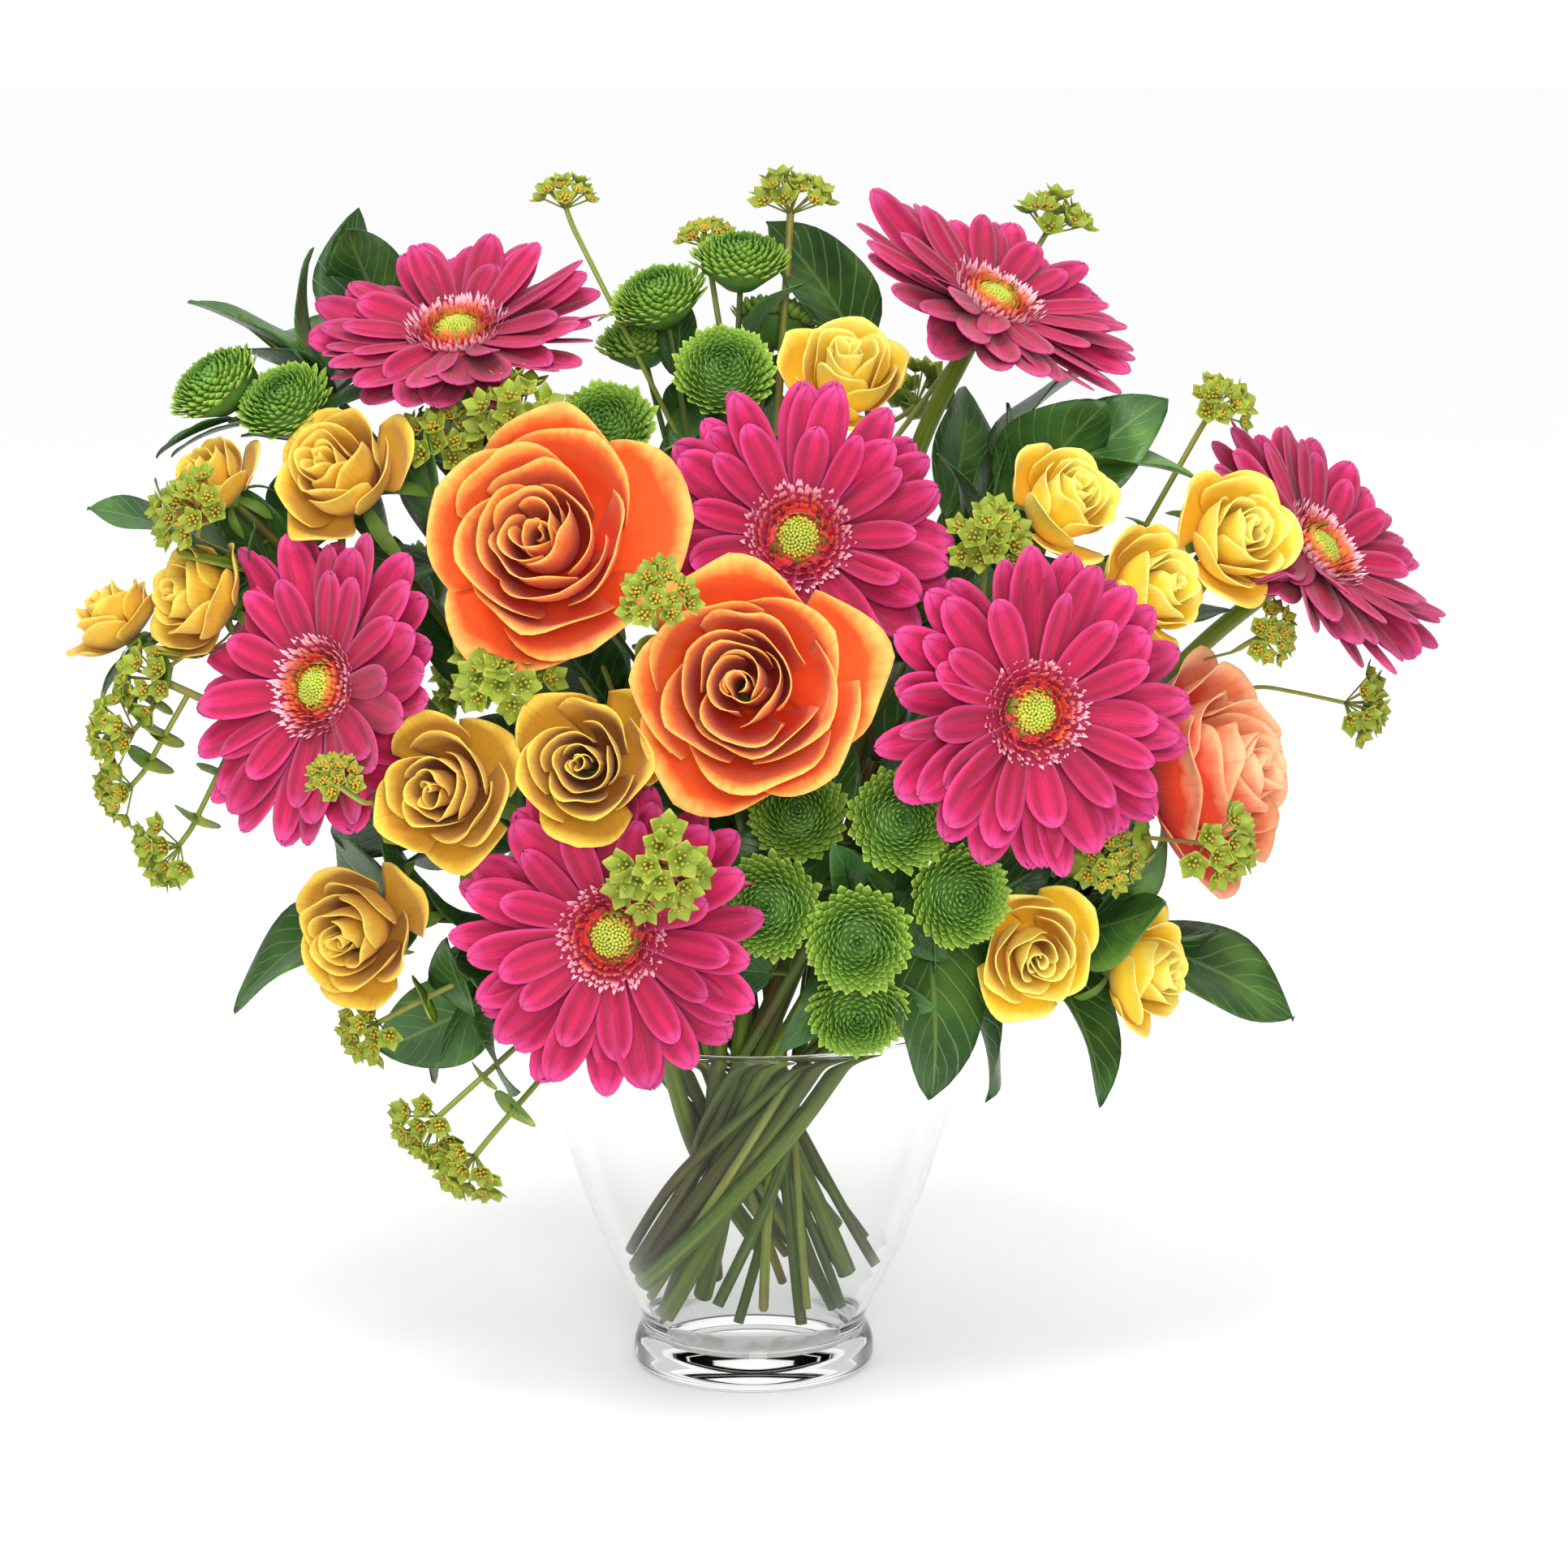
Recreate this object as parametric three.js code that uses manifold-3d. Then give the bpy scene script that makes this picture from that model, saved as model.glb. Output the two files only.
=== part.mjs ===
// A mixed bouquet of cut flowers standing in a clear glass vase: hot pink gerberas, orange roses,
// yellow spray roses, green button chrysanthemums, bupleurum and lemon leaf.
//
// Every picked stem is a piece of its own. A gerbera or a large rose is a stem and a head; a spray
// is one branching stem with what grows on it. The stems stand on the vase's floor, lean on its
// wall, and cross in a waist inside it, where settle() pushes them apart until none runs through
// another.
//
// Millimetres, +Z up, +X to the right and -Y to the front. The origin is the middle of the vase's
// underside.
import * as THREE from "three";
import { mergeVertices } from "three/addons/utils/BufferGeometryUtils.js";
import Module from "manifold-3d";

const wasm = await Module();
wasm.setup();

// ---------- Driving dimensions ----------

const GAP = 0.3; // kept between pieces that touch

// The vase's outline is its outer radius at each height, from the waist above the thick foot to
// the rim.
const VASE = {
  footRadius: 41.5,
  footHeight: 10,
  footRound: 3,
  waist: { radius: 38, height: 17 },
  shoulder: { radius: 49, height: 38 },
  belly: { radius: 65.5, height: 82 },
  rim: { radius: 75, height: 125 },
  wall: 3,
  floor: 8,
  sides: 28,
  rings: 6,
};

// Where the stems cross inside the vase, and how far they keep apart.
const BUNCH = { height: 80, radius: 27, twist: 65, clearance: 0.6 };
const RIM_CLEARANCE = 2; // between the vase's rim and a stem that passes it
const FORK = 0.5; // of the way from the vase's mouth to the middle of a spray's tips
const SETTLING = 160; // rounds of pushing the stems apart
// Leaves and flowers turn their backs to this point.
const HEART = new THREE.Vector3(0, 0, VASE.rim.height + 45);

// Sizes of what grows on the stems. A crown is how far the top of a head stands over its middle.
const GERBERA = { radius: 50, eye: 14, crown: 6, cup: 9, depth: 17, stem: 3.1 };
const ORANGE_ROSE = { radius: 38, crown: 17, depth: 30, stem: 3 };
const YELLOW_ROSE = { radius: 23, crown: 12, depth: 20, stem: 2.4, branch: 1.2 };
const BUTTON = { radius: 17, crown: 8, depth: 9, stem: 2.2, branch: 1.1 };
const UMBEL = { radius: 15, crown: 6, depth: 5, stem: 1.7, branch: 0.9 };
const LEAF = { length: 72, width: 44, thickness: 1.2, stem: 2, branch: 1.1 };

// How finely the round shapes are cut.
const GERBERA_SIDES = 16;
const ROSE_SIDES = 12;
const SMALL_SIDES = 8;
const LEAF_SIDES = 8;
const STEM_SIDES = 6;
const STEM_STEPS = 9;
const BRANCH_SIDES = 4;
const BRANCH_STEPS = 3; // three times as many where a branch is led round a flower

// Where each head's middle is, [right, back, up from the vase's rim], and the way it faces: turned
// right of the front and tilted up, in degrees. A size is a share of the kind's usual one. A branch
// that has to be led between other flowers goes via a point, and a spray that hangs over the rim
// has its own fork.
const GERBERAS = [
  { at: [-98, -12, 232], turn: -12, tilt: 62 },
  { at: [80, -5, 242], turn: 50, tilt: 55, size: 1.06 },
  { at: [15, -85, 172], turn: 2, tilt: 16 },
  { at: [89, -105, 119], turn: 14, tilt: 6, size: 1.02 },
  { at: [-139, -72, 122], turn: -38, tilt: 16, size: 1.06 },
  { at: [-44, -105, 47], turn: -6, tilt: 4, size: 1.02 },
  { at: [190, -8, 159], turn: 56, tilt: 38, size: 1.04 },
];

const ORANGE_ROSES = [
  { at: [-66, -100, 174], turn: -8, tilt: 18 },
  { at: [-2, -122, 129], turn: -6, tilt: 10 },
  { at: [158, -42, 90], turn: 62, tilt: 12 },
];

const YELLOW_SPRAYS = [
  {
    tips: [
      { at: [-136, -56, 191], turn: -32, tilt: 34, size: 1.0 },
      { at: [-180, -36, 187], turn: -52, tilt: 38, size: 0.72 },
      { at: [-185, -45, 149], turn: -58, tilt: 16, size: 0.9 },
      { at: [-214, -28, 141], turn: -78, tilt: 50, size: 0.72 },
    ],
  },
  {
    tips: [
      { at: [-99, -106, 94], turn: -16, tilt: 6, size: 1.04 },
      { at: [-53, -114, 104], turn: -8, tilt: 10, size: 1.04 },
      { at: [-130, -80, 42], turn: -26, tilt: -4, size: 1.0 },
    ],
  },
  {
    tips: [
      { at: [31, -24, 222], turn: 12, tilt: 50, size: 0.98 },
      { at: [103, -60, 183], turn: 40, tilt: 36, size: 0.92 },
      { at: [132, -64, 155], turn: 46, tilt: 16, size: 0.9 },
    ],
  },
  {
    tips: [
      { at: [160, -48, 170], turn: 32, tilt: 20, size: 0.96 },
      { at: [92, -86, 37], turn: 8, tilt: -4, size: 0.9 },
      { at: [132, -62, 26], turn: 58, tilt: 0, size: 0.86 },
    ],
  },
];

const BUTTON_SPRAYS = [
  {
    tips: [
      { at: [-178, -16, 215], turn: -55, tilt: 50 },
      { at: [-154, -26, 210], turn: -25, tilt: 48, size: 0.96 },
      { at: [-150, 40, 175], turn: -125, tilt: 35 },
      { at: [-120, 70, 137], turn: -150, tilt: 20 },
    ],
  },
  {
    tips: [
      { at: [-31, -2, 243], turn: -35, tilt: 60 },
      { at: [-4, 4, 255], turn: 5, tilt: 72 },
      { at: [-9, -40, 221], turn: 2, tilt: 34 },
      { at: [-48, -40, 203], turn: -6, tilt: 36 },
      { at: [-38, 22, 227], turn: -40, tilt: 72, size: 0.9 },
      { at: [8, 28, 233], turn: 150, tilt: 66, size: 0.9 },
    ],
  },
  {
    tips: [
      { at: [47, -102, 84], turn: 12, tilt: 12 },
      { at: [66, -100, 59], turn: 20, tilt: 2 },
      { at: [34, -110, 47], turn: 0, tilt: 0, size: 1.04 },
      { at: [6, -106, 57], turn: -14, tilt: 8, size: 1.02 },
      { at: [15, -88, 83], turn: -4, tilt: 26, size: 0.94 },
      { at: [34, -96, 21], turn: 4, tilt: -20, size: 0.96 },
    ],
  },
  {
    tips: [
      { at: [34, 98, 143], turn: 168, tilt: 24 },
      { at: [64, 92, 119], turn: 148, tilt: 12 },
      { at: [20, 106, 111], turn: 176, tilt: 8 },
      { at: [98, 60, 167], turn: 125, tilt: 36 },
    ],
  },
];

const UMBEL_SPRAYS = [
  {
    tips: [
      { at: [-63, 6, 277], turn: -10, tilt: 80, size: 0.8 },
      { at: [-16, 24, 263], turn: -10, tilt: 66, size: 0.7 },
      { at: [13, 10, 275], turn: 20, tilt: 76, size: 1.0 },
      { at: [103, 62, 266], turn: 60, tilt: 72, size: 1.05 },
    ],
  },
  {
    tips: [
      { at: [-77, -50, 207], turn: -6, tilt: 46, size: 1.2 },
      { at: [-102, -44, 199], turn: -10, tilt: 40 },
      { at: [-29, -140, 160], turn: 0, tilt: 34, size: 0.9, via: [-36, -106, 147] },
      { at: [-78, -98, 130], turn: -6, tilt: 20, size: 1.25 },
    ],
  },
  {
    tips: [
      { at: [-182, -56, 178], turn: -40, tilt: 24 },
      { at: [-198, -44, 121], turn: -60, tilt: 10 },
      { at: [-208, -44, 103], turn: -66, tilt: 0 },
      { at: [-210, -38, 83], turn: -70, tilt: -10, size: 0.8 },
      { at: [-194, -40, 63], turn: -60, tilt: -14 },
    ],
  },
  {
    fork: [-60, -64, 47],
    tips: [
      { at: [-28, -134, 74], turn: 2, tilt: -10, size: 1.2, via: [-21, -113, 99] },
      { at: [-131, -117, 100], turn: -30, tilt: 50, size: 0.7, via: [-125, -106, 65] },
      { at: [-106, -72, -23], turn: -42, tilt: -26 },
      { at: [-93, -74, -36], turn: -36, tilt: -40 },
      { at: [-126, -66, 8], turn: -46, tilt: -20, size: 0.9 },
    ],
  },
  {
    tips: [
      { at: [76, -86, 171], turn: 14, tilt: 30 },
      { at: [155, -14, 209], turn: 40, tilt: 40, size: 0.9 },
      { at: [171, -38, 135], turn: 44, tilt: 10, size: 0.8 },
      { at: [203, -16, 108], turn: 66, tilt: -10, via: [160, 6, 111] },
      { at: [150, -82, 72], turn: 46, tilt: -4, size: 1.1 },
      { at: [115, -88, 68], turn: 28, tilt: -4, size: 0.8 },
    ],
  },
  {
    tips: [
      { at: [-60, 84, 191], turn: -160, tilt: 44, size: 1.1 },
      { at: [-28, 112, 157], turn: 178, tilt: 24, size: 1.1 },
      { at: [58, 70, 205], turn: 150, tilt: 50, size: 1.1 },
      { at: [-104, 96, 99], turn: -140, tilt: 4 },
      { at: [112, 88, 89], turn: 130, tilt: 0 },
    ],
  },
];

// A leaf's place is the middle of its blade, and turn and tilt are the way its tip points.
const LEAF_SPRIGS = [
  {
    tips: [
      { at: [24, 14, 251], turn: -60, tilt: 62, size: 0.86 },
      { at: [102, -26, 196], turn: 60, tilt: 48, size: 0.82 },
      { at: [128, -32, 193], turn: 76, tilt: 10, size: 0.6 },
    ],
  },
  {
    tips: [
      { at: [-134, 34, 250], turn: -60, tilt: 60, size: 0.7 },
      { at: [-156, -2, 225], turn: -84, tilt: 40, size: 0.6 },
      { at: [-108, -46, 184], turn: -70, tilt: 62, size: 0.8 },
    ],
  },
  {
    tips: [
      { at: [61, -88, 21], turn: 20, tilt: -62, size: 0.98 },
      { at: [111, -62, 13], turn: 55, tilt: -42, size: 0.9 },
      { at: [160, -32, 20], turn: 84, tilt: -18, size: 0.92 },
      { at: [126, -60, 55], turn: 80, tilt: 40, size: 0.62 },
    ],
  },
  {
    fork: [-68, -36, 37],
    tips: [
      { at: [-154, -50, 35], turn: -78, tilt: -18, size: 0.86 },
      { at: [-206, -16, 172], turn: -88, tilt: 20, size: 0.56 },
      { at: [-98, -66, 23], turn: -40, tilt: 50, size: 0.56 },
      { at: [-90, -70, -19], turn: -66, tilt: -24, size: 0.5 },
    ],
  },
  {
    tips: [
      { at: [-76, 70, 55], turn: -150, tilt: -20 },
      { at: [-110, 64, 111], turn: -128, tilt: 24 },
      { at: [-56, 88, 137], turn: -170, tilt: 50 },
    ],
  },
  {
    tips: [
      { at: [72, 76, 51], turn: 140, tilt: -22 },
      { at: [118, 56, 101], turn: 118, tilt: 18 },
      { at: [12, 96, 175], turn: 176, tilt: 60, size: 0.9 },
    ],
  },
  {
    tips: [
      { at: [0, 96, 31], turn: 180, tilt: -40, size: 0.95 },
      { at: [-20, 104, 81], turn: -165, tilt: 20, size: 0.9 },
      { at: [-96, 52, 193], turn: -130, tilt: 46, size: 0.9 },
      { at: [100, 40, 211], turn: 110, tilt: 52, size: 0.85 },
    ],
  },
];

// ---------- Colours ----------

const finish = (color, roughness = 0.6) =>
  new THREE.MeshStandardMaterial({ color, roughness, metalness: 0 });
const FINISH = {
  glass: finish("#eef4f2", 0.05),
  gerbera: finish("#d8155f"),
  orangeRose: finish("#f07a24"),
  yellowRose: finish("#edc02a"),
  button: finish("#6fa32f"),
  umbel: finish("#a3aa35"),
  leaf: finish("#2f5a24", 0.45),
  stem: finish("#6c7d2c", 0.5),
};

// ---------- Solids ----------

const point = ([x, y, z]) => new THREE.Vector3(x, y, VASE.rim.height + z);

// A geometry as a solid: shared vertices merged, and the slivers at a lathe's poles dropped.
function solidOf(geometry) {
  geometry.deleteAttribute("normal");
  geometry.deleteAttribute("uv");
  const merged = mergeVertices(geometry, 1e-4);
  const corners = merged.index.array;
  const kept = [];
  for (let i = 0; i < corners.length; i += 3) {
    const [a, b, c] = corners.slice(i, i + 3);
    if (a !== b && b !== c && c !== a) kept.push(a, b, c);
  }
  const vertProperties = merged.attributes.position.array;
  const triVerts = new Uint32Array(kept);
  return new wasm.Manifold(new wasm.Mesh({ numProp: 3, vertProperties, triVerts }));
}

function geometryOf(solid) {
  const mesh = solid.getMesh();
  const position = new THREE.BufferAttribute(new Float32Array(mesh.vertProperties), 3);
  const geometry = new THREE.BufferGeometry().setAttribute("position", position);
  return geometry.setIndex(new THREE.BufferAttribute(new Uint32Array(mesh.triVerts), 1));
}

// A profile of [radius, height] pairs turned about the Y axis, from its lower pole to its upper.
const turned = (profile, sides) =>
  new THREE.LatheGeometry(
    profile.map(([radius, height]) => new THREE.Vector2(radius, height)),
    sides,
  );

// A round bar along a smooth path.
function bar(path, radius, sides, steps) {
  const section = new THREE.Shape(
    Array.from({ length: sides }, (_, i) => {
      const angle = (2 * Math.PI * i) / sides;
      return new THREE.Vector2(radius * Math.cos(angle), radius * Math.sin(angle));
    }),
  );
  const extrudePath = new THREE.CatmullRomCurve3(path, false, "centripetal");
  return solidOf(new THREE.ExtrudeGeometry(section, { steps, extrudePath, bevelEnabled: false }));
}

// ---------- The vase ----------

// The outside of the vase's wall, as a smooth curve through its outline.
const wallCurve = new THREE.SplineCurve(
  [VASE.waist, VASE.shoulder, VASE.belly, VASE.rim].map((p) => new THREE.Vector2(p.radius, p.height)),
).getPoints(VASE.rings);

// The radius of the vase's hollow at a height.
function innerRadius(height) {
  const above = wallCurve.findIndex((p) => p.y >= height);
  if (above <= 0) return wallCurve.at(above).x - VASE.wall;
  const [low, high] = [wallCurve[above - 1], wallCurve[above]];
  return THREE.MathUtils.mapLinear(height, low.y, high.y, low.x, high.x) - VASE.wall;
}

function vaseSolid(grow) {
  const { footRadius, footHeight, footRound, wall, floor } = VASE;
  const profile = [
    [0, 0],
    [footRadius - footRound, 0],
    [footRadius, footRound],
    [footRadius, footHeight],
    ...wallCurve.map((p) => [p.x + grow, p.y]),
    ...wallCurve.map((p) => [p.x - wall - grow, p.y]).reverse(),
    [wallCurve[0].x - wall - 1, floor + grow],
    [0, floor + grow],
  ];
  return solidOf(turned(profile, VASE.sides).rotateX(Math.PI / 2));
}

// ---------- Heads, facing +Y with their middle at the origin ----------

// Rays spread flat round a raised eye, with a calyx behind them.
function gerberaHead(size, grow) {
  const { eye, crown, cup, depth } = GERBERA;
  const radius = GERBERA.radius * size;
  const behind = [[0, -depth], [7, -depth], [13, -depth * 0.45], [radius, cup - 2]];
  const front = [[radius, cup], [eye + 2, 1], [eye * 0.8, crown - 1], [0, crown]];
  const offset = (points, lift) => points.map(([r, y]) => [r && r + grow, y + lift]);
  return solidOf(turned([...offset(behind, -grow), ...offset(front, grow)], GERBERA_SIDES));
}

// A rose, a button or an umbel: a cup with a domed top. A rose's cup is deep and rounded.
function domedHead(kind, size, grow, neck, sides) {
  const [radius, crown, depth] = [kind.radius, kind.crown, kind.depth].map((v) => v * size + grow);
  const belly = sides > SMALL_SIDES ? [[radius * 0.76, -depth * 0.5]] : [];
  const cup = [[0, -depth], [neck, -depth], ...belly, [radius, 0]];
  const dome = [[radius * 0.66, crown * 0.8], [0, crown]];
  return solidOf(turned([...cup, ...dome], sides));
}

// A leaf blade: a pointed oval profile turned about the midrib and pressed flat, thin along Z.
const LEAF_OUTLINE = [[0, 0], [0.12, 0.6], [0.4, 1], [0.74, 0.72], [1, 0]];

function leafBlade(size, grow) {
  const [length, width] = [LEAF.length, LEAF.width].map((v) => v * size + 2 * grow);
  const flat = (LEAF.thickness + 2 * grow) / width;
  const profile = LEAF_OUTLINE.map(([along, share]) => [(share * width) / 2, (along - 0.5) * length]);
  return solidOf(turned(profile, LEAF_SIDES).scale(1, 1, flat));
}

// For each kind of head: its solid, and how far behind its middle the stem ends.
const HEADS = {
  gerbera: { solid: gerberaHead, behind: () => GERBERA.depth },
  orangeRose: {
    solid: (size, grow) => domedHead(ORANGE_ROSE, size, grow, 5, ROSE_SIDES),
    behind: (size) => ORANGE_ROSE.depth * size,
  },
  yellowRose: {
    solid: (size, grow) => domedHead(YELLOW_ROSE, size, grow, 3, ROSE_SIDES),
    behind: (size) => YELLOW_ROSE.depth * size,
  },
  button: {
    solid: (size, grow) => domedHead(BUTTON, size, grow, 3, SMALL_SIDES),
    behind: (size) => BUTTON.depth * size - 2,
  },
  umbel: {
    solid: (size, grow) => domedHead(UMBEL, size, grow, 2, SMALL_SIDES),
    behind: (size) => UMBEL.depth * size - 2,
  },
  leaf: { solid: leafBlade, behind: (size) => (LEAF.length * size) / 2 - 4 },
};

// ---------- Plants ----------

// A gerbera or a large rose has one tip. Only its head and a yellow rose's are pieces of their
// own: the others are one piece with their stem.
const single = (spec) => ({ tips: [spec] });
const named = (name, kind, size, list) =>
  list.map((plant, i) => ({ name: `${name}_${i + 1}`, kind, size, ...plant }));
const plants = [
  ...named("gerbera", "gerbera", GERBERA, GERBERAS.map(single)),
  ...named("orange_rose", "orangeRose", ORANGE_ROSE, ORANGE_ROSES.map(single)),
  ...named("yellow_rose_spray", "yellowRose", YELLOW_ROSE, YELLOW_SPRAYS),
  ...named("button_mum_spray", "button", BUTTON, BUTTON_SPRAYS),
  ...named("bupleurum_spray", "umbel", UMBEL, UMBEL_SPRAYS),
  ...named("lemon_leaf_sprig", "leaf", LEAF, LEAF_SPRIGS),
];
const hasOwnHeads = ({ kind }) => ["gerbera", "orangeRose", "yellowRose"].includes(kind);

const direction = ({ turn, tilt }) => {
  const [t, e] = [THREE.MathUtils.degToRad(turn), THREE.MathUtils.degToRad(tilt)];
  return new THREE.Vector3(Math.sin(t) * Math.cos(e), -Math.cos(t) * Math.cos(e), Math.sin(e));
};

// A head's place as a matrix: +Y the way it faces, and +Z as nearly away from the bouquet's heart
// as it can be.
function placement(spec) {
  const along = direction(spec);
  const at = point(spec.at);
  const across = new THREE.Vector3().crossVectors(along, at.clone().sub(HEART)).normalize();
  const out = new THREE.Vector3().crossVectors(across, along);
  return new THREE.Matrix4().makeBasis(across, along, out).setPosition(at);
}

// Where the stem under a head ends.
function stemEnd(plant, spec) {
  const gap = hasOwnHeads(plant) ? 2 * GAP : 0;
  const behind = HEADS[plant.kind].behind(spec.size ?? 1) + gap;
  return point(spec.at).addScaledVector(direction(spec), -behind);
}

const middleOf = (points) =>
  points.reduce((sum, p) => sum.add(p), new THREE.Vector3()).divideScalar(points.length);

// ---------- Paths of stems ----------

const UP = new THREE.Vector3(0, 0, 1);
const MOUTH = new THREE.Vector3(0, 0, VASE.rim.height);

const ring = (angle, radius, height) =>
  new THREE.Vector3(radius * Math.cos(angle), radius * Math.sin(angle), height);

const toward = (from, to) => to.clone().sub(from).normalize();

// A smooth path from one point to another that leaves and arrives along given directions.
function sweep(from, leaving, to, arriving) {
  const reach = 0.38 * from.distanceTo(to);
  const curve = new THREE.CubicBezierCurve3(
    from,
    from.clone().addScaledVector(leaving, reach),
    to.clone().addScaledVector(arriving, -reach),
    to,
  );
  return curve.getPoints(8);
}

// A path that is led through a point of its own on the way.
const through = (from, via, to) =>
  new THREE.CatmullRomCurve3([from, point(via), to], false, "centripetal").getPoints(8);

// A main stem, from its foot across the bunch's waist up to its top. The stems lean like the
// strands of a twisted bundle: each one's foot stands across the vase from its top. A rank from 0
// to 1 takes its crossing from the middle of the bunch to the edge.
function mainPath(top, arriving, radius, rank, index) {
  const side = Math.atan2(top.y, top.x);
  const twist = THREE.MathUtils.degToRad(BUNCH.twist);
  const footHeight = VASE.floor + 6 + 26 * ((index * 0.618) % 1);
  const foot = ring(side - 2.4 * twist, innerRadius(footHeight) - radius, footHeight);
  const waist = ring(side - twist, BUNCH.radius * Math.sqrt(rank), BUNCH.height);
  const climb = toward(waist, top).lerp(UP, 0.55).normalize();
  const lower = [0, 0.25, 0.5, 0.75].map((share) => foot.clone().lerp(waist, share));
  return [...lower, ...sweep(waist, climb, top, arriving)];
}

// The stems of one plant. A single flower's stem ends at its head. A spray's ends at a fork, part
// of the way from the vase's mouth to the middle of its tips, and a branch runs on to each tip.
function stemsOf(plant, rank, index) {
  const ends = plant.tips.map((spec) => stemEnd(plant, spec));
  if (plant.tips.length === 1) {
    const path = mainPath(ends[0], direction(plant.tips[0]), plant.size.stem, rank, index);
    return [{ plant, path, radius: plant.size.stem, held: (k) => k >= path.length - 2, main: true }];
  }
  const fork = plant.fork ? point(plant.fork) : MOUTH.clone().lerp(middleOf(ends), FORK);
  const climb = toward(MOUTH, fork).lerp(UP, 0.4).normalize();
  const path = mainPath(fork, climb, plant.size.stem, rank, index);
  const main = { plant, path, radius: plant.size.stem, held: (k) => k === path.length - 1, main: true };
  const branches = plant.tips.map((spec, i) => {
    const leaving = toward(fork, ends[i]).lerp(climb, 0.3).normalize();
    return {
      plant,
      path: spec.via ? through(fork, spec.via, ends[i]) : sweep(fork, leaving, ends[i], direction(spec)),
      radius: plant.size.branch,
      held: (k) => k === 0 || k >= (spec.via ? 4 : 7),
      root: (0.4 * i) / plant.tips.length,
      steps: spec.via ? 3 * BRANCH_STEPS : BRANCH_STEPS,
    };
  });
  return [main, ...branches];
}

// ---------- Bunched stems push each other aside ----------

// The nearest points of two segments, as shares along each.
function nearest(p, u, q, v) {
  const w = new THREE.Vector3().subVectors(p, q);
  const [a, b, c, d, e] = [u.dot(u), u.dot(v), v.dot(v), u.dot(w), v.dot(w)];
  const spread = a * c - b * b;
  let s = spread > 1e-9 ? THREE.MathUtils.clamp((b * e - c * d) / spread, 0, 1) : 0.5;
  const t = THREE.MathUtils.clamp((b * s + e) / c, 0, 1);
  s = THREE.MathUtils.clamp((b * t - d) / a, 0, 1);
  return [s, t];
}

// Moves a place along one of a stem's segments by moving the segment's ends.
function nudge(stem, i, share, by) {
  if (!stem.held(i)) stem.path[i].addScaledVector(by, 1 - share);
  if (!stem.held(i + 1)) stem.path[i + 1].addScaledVector(by, share);
}

function straighten(stem, amount) {
  for (let k = 1; k + 1 < stem.path.length; k++)
    if (!stem.held(k)) stem.path[k].lerp(middleOf([stem.path[k - 1], stem.path[k + 1]]), amount);
}

function separate(one, other) {
  const apart = one.radius + other.radius + BUNCH.clearance;
  const reach = apart + 28; // no segment is longer
  for (let i = 0; i + 1 < one.path.length; i++) {
    const u = one.path[i + 1].clone().sub(one.path[i]);
    for (let j = 0; j + 1 < other.path.length; j++) {
      if (Math.abs(one.path[i].z - other.path[j].z) > reach) continue;
      if (Math.abs(one.path[i].x - other.path[j].x) > reach) continue;
      const v = other.path[j + 1].clone().sub(other.path[j]);
      const [s, t] = nearest(one.path[i], u, other.path[j], v);
      const p = one.path[i].clone().addScaledVector(u, s);
      const away = p.sub(other.path[j].clone().addScaledVector(v, t));
      const gap = away.length();
      if (gap >= apart) continue;
      away.normalize().multiplyScalar(0.55 * (apart - gap));
      nudge(one, i, s, away);
      nudge(other, j, t, away.negate());
    }
  }
}

// Keeps a stem off the heads of other plants.
function keepClear(stem) {
  stem.path.forEach((p, k) => {
    if (stem.held(k)) return;
    for (const { plant, at, axis, disc, radius } of obstacles) {
      if (plant === stem.plant) continue;
      const off = p.clone().sub(at);
      const flat = off.clone().addScaledVector(axis, -off.dot(axis));
      const away = off.sub(flat.clampLength(0, disc));
      const over = radius + stem.radius - away.length();
      if (over > 0) p.addScaledVector(away.normalize(), 0.5 * over);
    }
  });
}

// Keeps a stem in the vase's hollow up to the rim, its foot on the wall, and the segment that
// passes the rim off it.
function keepInside(stem) {
  const { rim, floor } = VASE;
  if (stem.main) {
    const i = stem.path.findIndex((p, k) => k > 0 && p.z > rim.height) - 1;
    const [below, above] = [stem.path[i], stem.path[i + 1]];
    const share = (rim.height - below.z) / (above.z - below.z);
    const out = below.clone().lerp(above, share).setZ(0);
    const over = out.length() + 2 * stem.radius + RIM_CLEARANCE - innerRadius(rim.height);
    if (over > 0) nudge(stem, i, share, out.setLength(-1.2 * over));
  }
  stem.path.forEach((p, k) => {
    if (stem.held(k) || p.z > rim.height + RIM_CLEARANCE) return;
    p.z = Math.max(p.z, floor + stem.radius + GAP);
    const onWall = innerRadius(Math.min(p.z, rim.height)) - stem.radius;
    const out = new THREE.Vector3(p.x, p.y, 0);
    if (stem.main && k === 0) out.setLength(onWall);
    else out.clampLength(0, onWall - 0.25 * stem.radius - 2 * GAP);
    p.set(out.x, out.y, p.z);
  });
}

// Moves the stems until no two of different plants come nearer than their radii, none leaves the
// vase below its rim, and none runs through a head. Forks and tips stay where they are.
function settle(stems) {
  for (let round = 0; round < SETTLING; round++) {
    const straightening = round < SETTLING * 0.75 ? 0.12 : 0.01;
    for (const stem of stems) straighten(stem, straightening);
    stems.forEach((one, i) => {
      for (const other of stems.slice(i + 1)) if (one.plant !== other.plant) separate(one, other);
    });
    for (const stem of stems) {
      keepClear(stem);
      keepInside(stem);
    }
  }
}

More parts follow.
